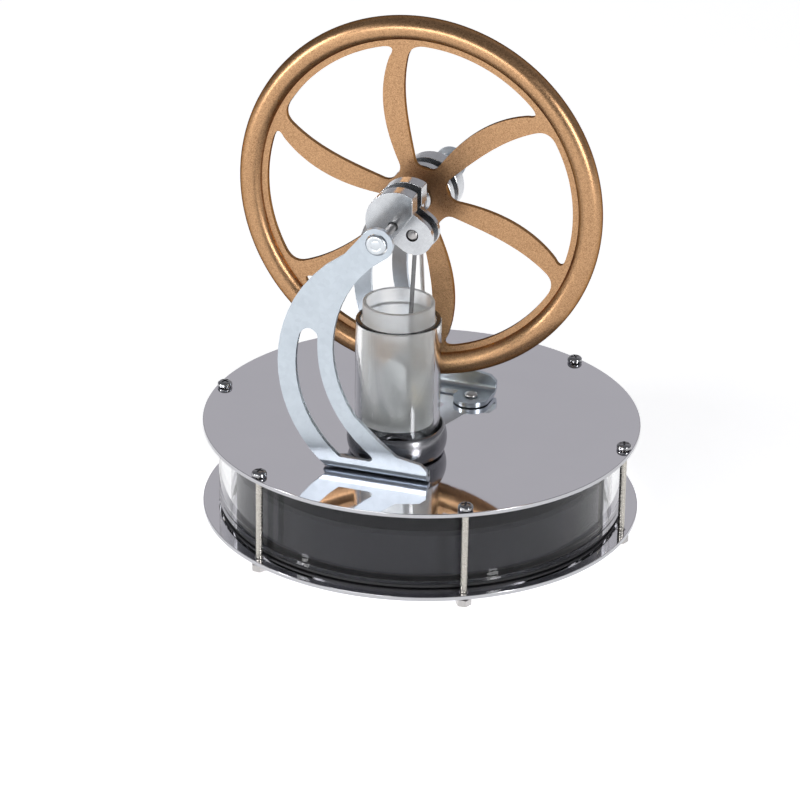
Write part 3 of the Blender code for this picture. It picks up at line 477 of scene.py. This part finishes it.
# %% [markdown]
# ## Modelling tools
#
# Every piece ends in the same way: its place goes into its mesh, it gets smooth shading with crisp
# corners, a name and a finish, and it rides on its body in place of the CAD node. Modifiers are
# added, set and applied in one step, so none is left on a piece.

# %% Finishing a piece
UPRIGHT = Matrix.Identity(4)
FACING_FRONT = Matrix.Rotation(math.radians(90.0), 4, "X")
FACING_REAR = Matrix.Rotation(math.radians(-90.0), 4, "X")


def at(x, y, z, turn=UPRIGHT):
    return Matrix.Translation((x, y, z)) @ turn


def pick(piece):
    """Makes a piece the only selected and active one."""
    deselect()
    piece.select_set(True)
    bpy.context.view_layer.objects.active = piece


def apply_step(piece, kind, **settings):
    """Adds a modifier, sets it and applies it."""
    pick(piece)
    step = piece.modifiers.new("step", kind)
    for key, value in settings.items():
        setattr(step, key, value)
    bpy.ops.object.modifier_apply(modifier=step.name)


def settle(piece, name, finish, body, nodes, angle=35.0):
    """Names a finished piece, puts its place in its mesh, and hangs it on its body."""
    pick(piece)
    bpy.ops.object.transform_apply(location=True, rotation=True, scale=True)
    bpy.ops.object.shade_smooth_by_angle(angle=math.radians(angle))
    apply_step(piece, "WEIGHTED_NORMAL", keep_sharp=True, weight=60)
    piece.name = name
    piece.data.name = name
    piece.data.materials.clear()
    piece.data.materials.append(finish.material)
    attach(piece, body)
    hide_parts(*nodes)
    return piece


print("finishing steps ready")

# %% [markdown]
# Most pieces of this engine are turned on a lathe or cut from sheet. A turned piece starts as a
# flat circle that is extruded and resized from station to station, as one would pull a pot. A spin
# of a profile would do as well, but it leaves a seam to merge. A sheet piece starts as a circle
# whose points are dragged on to the outline and then extruded.

# %% Turned and sheet pieces
SAME_POINT = 0.0000005                  # closer points than this are one
NEEDLE = 0.00001                        # radius of a ring that stands for a point


def close_and_turn_out(piece):
    """Merges doubles and makes the faces point outwards."""
    bpy.context.view_layer.objects.active = piece
    bpy.ops.object.mode_set(mode="EDIT")
    bpy.ops.mesh.select_all(action="SELECT")
    bpy.ops.mesh.remove_doubles(threshold=SAME_POINT)
    bpy.ops.mesh.normals_make_consistent(inside=False)
    bpy.ops.object.mode_set(mode="OBJECT")


def fill_ends(piece):
    """Caps the open ends of a turned piece."""
    bpy.ops.object.mode_set(mode="EDIT")
    bpy.ops.mesh.select_mode(type="EDGE")
    bpy.ops.mesh.select_all(action="DESELECT")
    bpy.ops.mesh.select_non_manifold()
    bpy.ops.mesh.edge_face_add()
    bpy.ops.object.mode_set(mode="OBJECT")


def turned(stations, place=UPRIGHT, sides=96, closed=False):
    """Pulls a circle through (radius, height) stations; closed joins the last ring to the first."""
    deselect()
    last_radius, last_height = max(stations[0][0], NEEDLE), stations[0][1]
    bpy.ops.mesh.primitive_circle_add(vertices=sides, radius=last_radius, location=(0.0, 0.0, last_height))
    piece = bpy.context.object
    bpy.ops.object.transform_apply(location=True)
    bpy.ops.object.mode_set(mode="EDIT")
    bpy.ops.mesh.select_all(action="SELECT")
    for radius, height in list(stations[1:]) + ([stations[0]] if closed else []):
        radius = max(radius, NEEDLE)
        bpy.ops.mesh.extrude_edges_move(TRANSFORM_OT_translate={"value": (0, 0, height - last_height)})
        factor = radius / last_radius
        bpy.ops.transform.resize(value=(factor, factor, 1.0))
        last_radius, last_height = radius, height
    bpy.ops.mesh.select_all(action="SELECT")
    bpy.ops.mesh.remove_doubles(threshold=SAME_POINT)
    bpy.ops.object.mode_set(mode="OBJECT")
    if not closed:
        fill_ends(piece)
    close_and_turn_out(piece)
    piece.matrix_world = place
    return piece


def drum(radius, low, high, place=UPRIGHT):
    return turned([(radius, low), (radius, high)], place, 32)


def sheet(outline, thickness):
    """A flat piece: a circle's points are dragged on to the outline, then it is extruded."""
    deselect()
    bpy.ops.mesh.primitive_circle_add(vertices=len(outline), radius=0.01, fill_type="NGON")
    piece = bpy.context.object
    bpy.ops.object.mode_set(mode="EDIT")
    cage = bmesh.from_edit_mesh(piece.data)
    cage.faces.ensure_lookup_table()
    corners = [loop.vert for loop in cage.faces[0].loops]
    for corner, (across, up) in zip(corners, outline):
        corner.co = (across, up, -thickness / 2)
    bmesh.update_edit_mesh(piece.data)
    bpy.ops.mesh.select_all(action="SELECT")
    bpy.ops.mesh.extrude_region_move(TRANSFORM_OT_translate={"value": (0, 0, thickness)})
    bpy.ops.object.mode_set(mode="OBJECT")
    close_and_turn_out(piece)
    return piece


print("turning and sheet cutting ready")

# %% [markdown]
# Holes are cut with Boolean modifiers, because a drill is exactly that: a shape taken away. Sharp
# edges get a narrow bevel, since no real edge is perfectly sharp and it is the bevel that catches
# the light.

# %% Cutting, easing and joining
def cut(piece, *tools):
    """Takes the tools away from the piece, and then throws them away."""
    for tool in tools:
        apply_step(piece, "BOOLEAN", operation="DIFFERENCE", solver="EXACT", object=tool)
        bpy.data.objects.remove(tool, do_unlink=True)


def eased(piece, width, segments, angle):
    apply_step(piece, "BEVEL", width=width, segments=segments, limit_method="ANGLE",
               angle_limit=math.radians(angle), harden_normals=False)


def joined(*pieces):
    deselect()
    for piece in pieces:
        piece.select_set(True)
    bpy.context.view_layer.objects.active = pieces[0]
    bpy.ops.object.join()
    return pieces[0]


print("cutting and easing ready")


# %% [markdown]
# Where the CAD shape is already right, the piece starts as a copy of the node. A CAD mesh is loose
# triangles, so its doubles are merged and its flat faces made whole first, and only then can an
# edge be eased or a sheet's corner be rounded.

# %% Finer copies of frame nodes
MERGED = 0.000002                       # the frame's triangles meet to within this
AT_CORNER = 0.0004                      # an edge this near to a corner's place belongs to it
SHEET_LEAST = 0.0005                    # an edge through the sheet is longer than this


def round_corner(piece, x, z, rounding, gather):
    """Rounds a corner of a cut sheet; what lies within gather of the corner is drawn to it first."""
    bpy.ops.mesh.select_all(action="DESELECT")
    shape = bmesh.from_edit_mesh(piece.data)
    for point in shape.verts:
        if math.hypot(point.co.x - x, point.co.z - z) < gather:
            point.co.x, point.co.z = x, z
    bmesh.ops.remove_doubles(shape, verts=shape.verts[:], dist=MERGED)
    for edge in shape.edges:
        near = [math.hypot(end.co.x - x, end.co.z - z) < AT_CORNER for end in edge.verts]
        edge.select_set(all(near) and edge.calc_length() > SHEET_LEAST)
    bmesh.update_edit_mesh(piece.data)
    bpy.ops.mesh.bevel(offset=rounding, segments=6, affect="EDGES")


def copied(node, name, finish, body, ease, segments=2, angle=35.0, corners=()):
    """A finer copy of a CAD node: doubles merged, flat faces whole again, edges eased."""
    piece = bpy.data.objects.new(name, NODES[node].data.copy())
    bpy.context.scene.collection.objects.link(piece)
    pick(piece)
    bpy.ops.object.mode_set(mode="EDIT")
    bpy.ops.mesh.select_all(action="SELECT")
    bpy.ops.mesh.remove_doubles(threshold=MERGED)
    bpy.ops.mesh.dissolve_limited(angle_limit=math.radians(0.8))
    for corner in corners:
        round_corner(piece, *corner)
    bpy.ops.object.mode_set(mode="OBJECT")
    if ease:
        eased(piece, ease, segments, angle)
    return settle(piece, name, finish, body, [node])


print("copying ready")

# %% [markdown]
# ## The two plates
#
# Each plate is a blanked disc. The press rounds its edges a little, and the thin round edge catches
# a line of light all the way round. It could be a beveled cylinder, but here it is turned, with one
# more station on the upper edge, which is the one that shows. The screw holes, the cylinder's port
# and the rivet holes are then drilled.

# %% Plates
POWER_Y = -0.0195                       # the power cylinder stands this far in front of the middle
SCREW_CIRCLE = 0.0529
SCREW_HOLE, PORT_HOLE, SMALL_HOLE = 0.00115, 0.0040, 0.0011
EDGE_EASE = 0.00022
OVERSHOOT = 0.001                       # a drill goes this far past the plate
RIVETS = [f"{end}_foot_rivet_{side}" for end in ("front", "rear") for side in ("left", "right")]
SCREW_SPOTS = [(SCREW_CIRCLE * math.cos(math.pi * k / 3), SCREW_CIRCLE * math.sin(math.pi * k / 3))
               for k in range(6)]


def plate(node):
    low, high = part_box(node)[0].z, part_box(node)[1].z
    ease = EDGE_EASE
    stations = [(0.0, low), (PLATE_RADIUS - ease, low), (PLATE_RADIUS, low + ease)]
    stations += [(PLATE_RADIUS, high - ease), (PLATE_RADIUS - 0.3 * ease, high - 0.3 * ease)]
    stations += [(PLATE_RADIUS - ease, high), (0.0, high)]
    piece = turned(stations, sides=192)
    holes = [(SCREW_HOLE, x, y) for x, y in SCREW_SPOTS]
    if node == "top_plate":
        holes += [(SMALL_HOLE, 0, 0), (PORT_HOLE, 0, POWER_Y)]
        for word in RIVETS:
            middle = (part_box(word)[0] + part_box(word)[1]) / 2
            holes.append((SMALL_HOLE, middle.x, middle.y))
    drills = [drum(radius, low - OVERSHOOT, high + OVERSHOOT, at(x, y, 0)) for radius, x, y in holes]
    cut(piece, joined(*drills))
    settle(piece, node + "_disc", polished, "base", [node])
    print(node, "with", len(holes), "holes")


plate("bottom_plate")
plate("top_plate")


# %% [markdown]
# ## Chamber: acrylic ring, seals and displacer
#
# The ring is a length of clear tube with polished ends. Its edges are eased so that they draw
# fine bright lines. The seals are soft flat rings, and the displacer is a foam disc with
# rounded shoulders and a bore for its rod. All four are the same shape in different sizes, so one
# function turns them.

# %% Chamber pieces
TUBE_OUTER, TUBE_INNER = 0.0510, 0.0480
SEAL_OUTER, SEAL_INNER = 0.0506, 0.0484
FOAM_OUTER, FOAM_BORE = 0.0465, 0.0011


def ring(node, outer, inner, ease, finish, body="base", sides=192):
    low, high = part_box(node)[0].z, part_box(node)[1].z
    stations = [(inner, low + ease), (inner + ease, low), (outer - ease, low), (outer, low + ease),
                (outer, high - ease), (outer - ease, high), (inner + ease, high), (inner, high - ease)]
    piece = turned(stations, sides=sides, closed=True)
    settle(piece, node + "_turned", finish, body, [node], 30.0)


ring("chamber_ring", TUBE_OUTER, TUBE_INNER, 0.00015, acrylic)
ring("lower_gasket", SEAL_OUTER, SEAL_INNER, 0.00012, rubber, sides=128)
ring("upper_gasket", SEAL_OUTER, SEAL_INNER, 0.00012, rubber, sides=128)
ring("displacer", FOAM_OUTER, FOAM_BORE, 0.0009, foam, "displacer")
print("chamber built")


# %% [markdown]
# ## Clamp screws
#
# Six small pan-head screws pull the plates together. The head is a low dome with a cross recess,
# turned and then cut with two crossed blades. The recess stands at a different angle on each,
# because no two screws stop at the same place. Head and thread are one piece with two finishes.

# %% Screws and nuts
HEAD_RADIUS, HEAD_HEIGHT, HEAD_RIM, DOME = 0.0019, 0.0013, 0.00045, 0.00085
SHANK_RADIUS, POINT = 0.00085, 0.0003
RECESS = (0.0023, 0.00050, 0.0013)      # length, width and height of one blade of the cross


def screw(index, spot):
    node = f"clamp_screw_{index}"
    low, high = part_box(node)[0].z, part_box(node)[1].z
    seat = high - HEAD_HEIGHT
    stations = [(0.0, low), (SHANK_RADIUS - POINT, low), (SHANK_RADIUS, low + POINT), (SHANK_RADIUS, seat),
                (HEAD_RADIUS - 0.0001, seat), (HEAD_RADIUS, seat + 0.0001), (HEAD_RADIUS, seat + HEAD_RIM)]
    for step in range(1, 8):
        angle = math.radians(90.0 * step / 8)
        radius = HEAD_RADIUS * math.cos(angle * 0.72) ** 1.2
        stations.append((radius, seat + HEAD_RIM + DOME * math.sin(angle)))
    stations.append((0.0, high))
    piece = turned(stations, sides=40)
    turn = Matrix.Rotation(math.radians(17.0 * index), 4, "Z")
    slots = []
    for quarter in (0, 1):
        deselect()
        bpy.ops.mesh.primitive_cube_add(size=1.0, location=(0, 0, high))
        blade = bpy.context.object
        bpy.ops.object.mode_set(mode="EDIT")
        bpy.ops.transform.resize(value=RECESS)
        bpy.ops.mesh.bevel(offset=0.0001, segments=1)
        bpy.ops.object.mode_set(mode="OBJECT")
        crossed = turn @ Matrix.Rotation(math.radians(90.0 * quarter), 4, "Z")
        blade.matrix_world = at(0, 0, high, crossed)
        slots.append(blade)
    cut(piece, *slots)
    piece.matrix_world = at(*spot, 0)
    settle(piece, node + "_turned", thread_steel, "base", [node], 32.0)
    piece.data.materials.append(dark_chrome.material)
    for face in piece.data.polygons:
        if face.center.z > seat - 0.00005:
            face.material_index = 1


for number, spot in enumerate(SCREW_SPOTS, 1):
    screw(number, spot)
    copied(f"clamp_nut_{number}", f"clamp_nut_{number}_eased", drawn_steel, "base", 0.00025)
print("screws built")

# %% [markdown]
# ## Flywheel
#
# A cast rim with a thin plate in it. The rim is a round bead with a small groove where it meets
# the plate. A ready-made torus would have no groove, so the bead is turned from a section that
# dips in on both sides of the plate.

# %% Flywheel rim
WHEEL_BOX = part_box("flywheel")
WHEEL_Y = (WHEEL_BOX[0].y + WHEEL_BOX[1].y) / 2
BEAD = 0.00295                          # radius of the round bead
BEAD_STEPS, BEAD_START = 44, 170.0      # the bead runs from just above the plate to just below it
RIM_CENTRE = (WHEEL_BOX[1].z - WHEEL_BOX[0].z) / 2 - BEAD
GROOVE_RADIUS, GROOVE_HALF = 0.0402, 0.0004
WHEEL_PLACE = at(0, WHEEL_Y, SHAFT_Z, FACING_FRONT)

section = [(GROOVE_RADIUS, -GROOVE_HALF), (GROOVE_RADIUS, GROOVE_HALF)]
for step in range(BEAD_STEPS + 1):
    angle = math.radians(BEAD_START - 2 * BEAD_START * step / BEAD_STEPS)
    section.append((RIM_CENTRE + BEAD * math.cos(angle), BEAD * math.sin(angle)))
rim = turned(section, WHEEL_PLACE, 256, closed=True)
print("rim radius", round(1000 * (RIM_CENTRE + BEAD), 2), "mm")


# %% [markdown]
# Six windows pierce the wheel and leave six swept spokes. A spoke leaves the boss straight outwards
# and sweeps round more and more towards the rim, and it is widest half-way out. Each window is the
# space between one spoke's edge and the next one's, with eased corners.

# %% Flywheel windows
SPOKE_WIDTH, SPOKE_WIDEST, SPOKE_TAPER = 0.0056, 0.0235, 8.0
SPOKE_ANGLE = math.radians(96.7)
SPOKE_SWEEP, SPOKE_CURL = math.radians(803.0), math.radians(13050.0)
SPOKE_STEPS, RIM_STEPS, CORNER_STEPS = 22, 20, 8
WINDOW_IN, WINDOW_OUT = 0.0080, 0.0393
RIM_TRIM, BOSS_TRIM = 0.0036, 0.0019    # how much of each side a rounded corner takes


def spoke_edge(number, side):
    """One edge of a curved spoke, from the boss out to the rim."""
    points = []
    for index in range(SPOKE_STEPS + 1):
        radius = WINDOW_IN + (WINDOW_OUT - WINDOW_IN) * index / SPOKE_STEPS
        inward = WINDOW_OUT - radius
        angle = SPOKE_ANGLE + math.pi * number / 3 + SPOKE_SWEEP * inward - SPOKE_CURL * inward ** 2
        turn_rate = SPOKE_SWEEP - 2 * SPOKE_CURL * inward
        normal = angle + math.atan2(-turn_rate * radius, 1.0) + math.pi / 2
        half = side * (SPOKE_WIDTH - SPOKE_TAPER * (radius - SPOKE_WIDEST) ** 2) / 2
        points.append((radius * math.cos(angle) + half * math.cos(normal),
                       radius * math.sin(angle) + half * math.sin(normal)))
    return points


def shortened(points, length):
    """The run of points without its last stretch."""
    kept = list(points)
    while len(kept) > 2 and math.dist(kept[-1], kept[-2]) <= length:
        length -= math.dist(kept[-1], kept[-2])
        kept.pop()
    share = min(length / math.dist(kept[-1], kept[-2]), 0.9)
    last = tuple(end + (start - end) * share for end, start in zip(kept[-1], kept[-2]))
    return kept[:-1] + [last]


def rounded(runs, trims):
    """Joins runs of points end to start, easing each corner over its trim length."""
    short = []
    for index, run in enumerate(runs):
        run = shortened(run, trims[index])
        short.append(shortened(run[::-1], trims[index - 1])[::-1])
    outline = []
    for index, run in enumerate(short):
        corner, following = runs[index][-1], short[(index + 1) % len(runs)][0]
        outline += run
        for step in range(1, CORNER_STEPS):
            t = step / CORNER_STEPS
            outline.append(tuple((1 - t) ** 2 * a + 2 * t * (1 - t) * b + t ** 2 * c
                                 for a, b, c in zip(run[-1], corner, following)))
    return outline


def rim_run(start, end):
    """Points along the windows' outer circle."""
    angles = [start + (end - start) * index / RIM_STEPS for index in range(RIM_STEPS + 1)]
    return [(WINDOW_OUT * math.cos(a), WINDOW_OUT * math.sin(a)) for a in angles]


def window(number):
    """The outline of the window between a spoke and the next one."""
    near, far = spoke_edge(number, 1), spoke_edge(number + 1, -1)
    start, end = math.atan2(near[-1][1], near[-1][0]), math.atan2(far[-1][1], far[-1][0])
    end += 2 * math.pi if end < start else 0.0
    outer = rim_run(start, end)
    runs = [near[:-1] + [outer[0]], outer, (far[:-1] + [outer[-1]])[::-1], [far[0], near[0]]]
    return rounded(runs, (RIM_TRIM, RIM_TRIM, BOSS_TRIM, BOSS_TRIM))


window_tools = [sheet(window(number), 0.01) for number in range(6)]
print("windows of", len(window(0)), "points each")

# %% [markdown]
# The six windows are taken out of a turned disc in one cut. Then every cut edge gets the soft
# round edge that thick paint gives, and the disc joins the rim as one casting.

# %% Flywheel
DISC_BORE, DISC_RADIUS, DISC_HALF = 0.0013, 0.0409, 0.0007
disc = turned([(DISC_BORE, -DISC_HALF), (DISC_RADIUS, -DISC_HALF), (DISC_RADIUS, DISC_HALF),
               (DISC_BORE, DISC_HALF)], sides=128, closed=True)
cut(disc, joined(*window_tools))
eased(disc, 0.00022, 2, 50.0)
disc.matrix_world = WHEEL_PLACE
flywheel = joined(rim, disc)
settle(flywheel, "flywheel_cast", bronze, "crankshaft", ["flywheel"], 30.0)
print("flywheel", len(flywheel.data.polygons), "faces")


# %% [markdown]
# ## Shaft, crank pins and wheel boss
#
# The shaft lengths are ground rod with chamfered ends, and each crank pin is riveted over, so its
# end is a low dome. The dome is what shows of a pin from the front, so both are turned from
# stations, and not left as plain rods.

# %% Shaft and crank pins
SHAFT_RADIUS, POWER_PIN_RADIUS, DISPLACER_PIN_RADIUS = 0.0010, 0.00125, 0.0009


def along_shaft(name, node, radius, dome=0.0):
    """A rod along the shaft's direction, chamfered, with a low dome on each end."""
    low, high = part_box(node)
    x, z = (low.x + high.x) / 2, (low.z + high.z) / 2
    ease = radius * 0.22
    inner, rise = radius * 0.6, dome * 0.7
    front, rear = low.y, high.y
    stations = [(0.0, front - dome), (inner, front - rise), (radius - ease, front), (radius, front + ease)]
    stations += [(radius, rear - ease), (radius - ease, rear), (inner, rear + rise), (0.0, rear + dome)]
    piece = turned(stations, at(x, 0, z, FACING_REAR), 48)
    settle(piece, name, drawn_steel, "crankshaft", [node])


for node in ("front_shaft", "main_shaft", "rear_shaft"):
    along_shaft(node + "_ground", node, SHAFT_RADIUS)
along_shaft("power_pin_riveted", "power_crank_pin", POWER_PIN_RADIUS, 0.00012)
along_shaft("displacer_pin_riveted", "displacer_crank_pin", DISPLACER_PIN_RADIUS, 0.0001)
print("shaft and crank pins built")

# %% [markdown]
# The boss that carries the wheel, its grub screw, the two small-end pins and the displacer's hub are
# plain turned parts that the frame already has right. Their copies get fine chamfers.

# %% Boss and small pins
for node, body in (("wheel_hub", "crankshaft"), ("grub_screw", "crankshaft"), ("wrist_pin", "connecting_rod"),
                   ("link_pin", "displacer_link"), ("displacer_hub", "displacer")):
    copied(node, node + "_eased", dark_chrome if node == "grub_screw" else nickel, body, 0.0001, 1)
print("boss and pins built")

# %% [markdown]
# ## Crank webs
#
# Each web is a flat arm with a thick round counterweight on its outer side. Pressed or cast, then
# plated, it has broad soft edges that draw the bright line round the weight. The shape is the
# frame's; the copy gets wide round edges.

# %% Webs
for node in ("power_web_front", "power_web_rear", "displacer_web_front", "displacer_web_rear"):
    copied(node, node + "_plated", nickel, "crankshaft", 0.00028, 3, 32.0)
print("webs built")

# %% [markdown]
# ## Rods, forks and gland
#
# Thin wire rods with an eye at each end join the cranks to the piston and the displacer. The front
# one is dark oiled wire and the other is bright, and their grain runs along the wire. The gland is
# turned brass, which runs well against the displacer's ground rod.

# %% Rods and forks
copied("connecting_rod", "connecting_rod_drawn", dark_wire, "connecting_rod", 0.0001, 1)
copied("displacer_link", "displacer_link_drawn", drawn_steel, "displacer_link", 0.0001, 1)
copied("piston_fork", "piston_fork_plated", nickel, "piston", 0.0002)
copied("displacer_fork", "displacer_fork_plated", nickel, "displacer", 0.0002)
copied("displacer_rod", "displacer_rod_ground", drawn_steel, "displacer", 0.0)
copied("rod_gland", "rod_gland_turned", brass, "base", 0.0002)
print("rods built")

# %% [markdown]
# ## Power cylinder, piston and collar
#
# The cylinder is a length of glass tube with a fire-polished lip: the flame leaves the end of the
# wall round, and the round lip draws the dark line that marks the top of the glass. It is turned as
# a closed section, so the tube has a real wall that bends what is seen through it.

# %% Cylinder glass
GLASS_OUTER, GLASS_INNER = 0.01055, 0.00915
LIP = 0.00045
low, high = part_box("cylinder_glass")[0].z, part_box("cylinder_glass")[1].z
foot = [(GLASS_INNER, low + 0.0001), (GLASS_INNER + 0.0001, low), (GLASS_OUTER - 0.0002, low),
        (GLASS_OUTER, low + 0.0002)]
lip = [(GLASS_OUTER, high - LIP), (GLASS_OUTER - 0.12 * LIP, high - 0.4 * LIP),
       (GLASS_OUTER - 0.5 * LIP, high - 0.08 * LIP), (GLASS_OUTER - LIP, high), (GLASS_INNER + LIP, high),
       (GLASS_INNER + 0.4 * LIP, high - 0.1 * LIP), (GLASS_INNER, high - LIP)]
glass = turned(foot + lip, at(0, POWER_Y, 0), 128, closed=True)
settle(glass, "cylinder_tube", cylinder_clear, "base", ["cylinder_glass"], 40.0)
print("cylinder glass", round(1000 * (high - low), 2), "mm long")

# %% [markdown]
# The piston is a ground glass cup that slides in the cylinder, open at its top. Its outer foot is
# well rounded, so that it can't chip on the collar.

# %% Piston cup
CUP_RADIUS, CUP_BORE, CUP_FLOOR = 0.00885, 0.00795, 0.0015
low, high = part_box("piston")[0].z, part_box("piston")[1].z
outside = [(0.0, low), (CUP_RADIUS - 0.0006, low), (CUP_RADIUS - 0.0002, low + 0.0002),
           (CUP_RADIUS, low + 0.0006), (CUP_RADIUS, high - 0.0003), (CUP_RADIUS - 0.0001, high - 0.0001),
           (CUP_RADIUS - 0.0003, high)]
inside = [(CUP_BORE + 0.0002, high), (CUP_BORE, high - 0.0002), (CUP_BORE, low + CUP_FLOOR + 0.0003),
          (CUP_BORE - 0.0003, low + CUP_FLOOR), (0.0, low + CUP_FLOOR)]
cup = turned(outside + inside, at(0, POWER_Y, 0), 128)
settle(cup, "piston_cup", frosted, "piston", ["piston"], 40.0)
print("piston", round(1000 * (high - low), 2), "mm long")

# %% [markdown]
# The collar is a black-plated ring, swollen in the middle like a cushion, so it shows a bright band
# between two dark ones. Half a sine wave gives the swelling its height.

# %% Collar
SWELL_STEPS = 14
SWELL_RADIUS, SWELL_DEPTH, SWELL_HEIGHT = 0.0113, 0.0011, 0.0064
COLLAR_PORT, COLLAR_FLOOR, COLLAR_HEIGHT = 0.0055, 0.0012, 0.0070
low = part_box("cylinder_collar")[0].z
seat = GLASS_OUTER + 0.0003             # the glass drops into this bore
swell = []
for step in range(SWELL_STEPS + 1):
    bulge = math.sin(math.pi * (0.10 + 0.80 * step / SWELL_STEPS)) ** 0.8
    swell.append((SWELL_RADIUS + SWELL_DEPTH * bulge, low + 0.0002 + SWELL_HEIGHT * step / SWELL_STEPS))
base = [(COLLAR_PORT, low + COLLAR_FLOOR), (COLLAR_PORT, low), (0.0111, low)]
crown = [(0.0114, low + COLLAR_HEIGHT - 0.0001), (seat + 0.0004, low + COLLAR_HEIGHT),
         (seat, low + COLLAR_HEIGHT - 0.0004), (seat, low + COLLAR_FLOOR)]
collar = turned(base + swell + crown, at(0, POWER_Y, 0), 128, closed=True)
settle(collar, "collar_turned", collar_chrome, "base", ["cylinder_collar"], 50.0)
print("collar built")

# %% [markdown]
# ## Brackets, bearings and rivets
#
# The brackets are cut and folded from sheet. The frame holds their outline, and a punch leaves
# round corners in a window, so the copy gets its window's head and its lower inner corner rounded.
# Then its thin edges are eased so that they catch light.

# %% Brackets
# Each corner: its place across and its height, how far the rounding reaches, and what it gathers.
WINDOW_HEAD = (-0.0170, SHAFT_Z - 0.0238, 0.0014, 0.0)
WINDOW_CORNER = (0.0014, SHAFT_Z - 0.0574, 0.0034, 0.0018)
for node in ("front_bracket", "rear_bracket"):
    copied(node, node + "_folded", zinc, "base", 0.00018, 2, 40.0, [WINDOW_HEAD, WINDOW_CORNER])
print("brackets built")


# %% [markdown]
# The bearings are closed caps pressed into the brackets' eyes. A shallow ring groove runs round the
# face, and the blind bore inside takes the end of the shaft.

# %% Bearings
CAP_RADIUS, CAP_BORE, CAP_FLOOR = 0.0025, 0.0013, 0.0009


def bearing(node, outward):
    low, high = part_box(node)
    face = low.y if outward < 0 else high.y
    length = high.y - low.y
    groove = [(0.0, -0.00004), (0.0010, -0.00004), (0.0012, -0.00012), (0.0014, -0.00002)]
    shoulder = [(0.0021, 0.0), (0.0023, -0.0001), (CAP_RADIUS, -0.0003), (CAP_RADIUS, -length)]
    hollow = [(CAP_BORE, -length), (CAP_BORE, -CAP_FLOOR), (0.0, -CAP_FLOOR)]
    turn = FACING_FRONT if outward < 0 else FACING_REAR
    piece = turned(groove + shoulder + hollow, at(0, face, SHAFT_Z, turn), 64)
    settle(piece, node + "_turned", bearing_metal, "base", [node])


bearing("front_bearing", -1)
bearing("rear_bearing", 1)
print("bearings built")


# %% [markdown]
# Each foot is held by two rivets with low domed heads. The dome is a quarter of an ellipse in
# six steps.

# %% Rivets
RIVET_HEAD, RIVET_SHANK = 0.0016, 0.0008
RIVET_HEIGHT, RIVET_RIM, RIVET_DOME = 0.0008, 0.0002, 0.0006


def rivet(node):
    low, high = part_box(node)
    x, y = (low.x + high.x) / 2, (low.y + high.y) / 2
    seat = high.z - RIVET_HEIGHT
    stations = [(0.0, low.z), (RIVET_SHANK, low.z), (RIVET_SHANK, seat), (RIVET_HEAD, seat),
                (RIVET_HEAD, seat + RIVET_RIM)]
    for angle in [math.radians(a) for a in (15, 30, 45, 60, 75)]:
        stations.append((RIVET_HEAD * math.cos(angle), seat + RIVET_RIM + RIVET_DOME * math.sin(angle)))
    piece = turned(stations + [(0.0, high.z)], at(x, y, 0), 40)
    settle(piece, node + "_domed", drawn_steel, "base", [node])


for node in RIVETS:
    rivet(node)
print("rivets built")

# %% [markdown]
# ## The frame's own nodes
#
# Every frame node has a finer piece in its place by now and is hidden. Each still gets the finish
# of its slot in the record, so that none is left bare if it is shown on its own.

# %% Finishes for the frame's nodes
SLOT_FINISH = {"polished_steel": polished, "zinc_plated_sheet": zinc, "bronze_paint": bronze,
               "nickel": nickel, "dark_chrome": dark_chrome, "screw_steel": drawn_steel,
               "clear_glass": cylinder_clear, "frosted_glass": frosted, "clear_acrylic": acrylic,
               "black_rubber": rubber, "dark_foam": foam, "brass": brass}
for part in frame["record"]["subparts"]:
    node = NODES[part["node"]]
    for index in range(len(node.material_slots)):
        node.material_slots[index].material = SLOT_FINISH[part["material_slot"]].material
print("hidden frame nodes:", sum(node.hide_render for node in NODES.values()), "of", len(NODES))

# %% Sizes and close
low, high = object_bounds()
print("visual box", [round(1000 * v, 1) for v in low], [round(1000 * v, 1) for v in high])
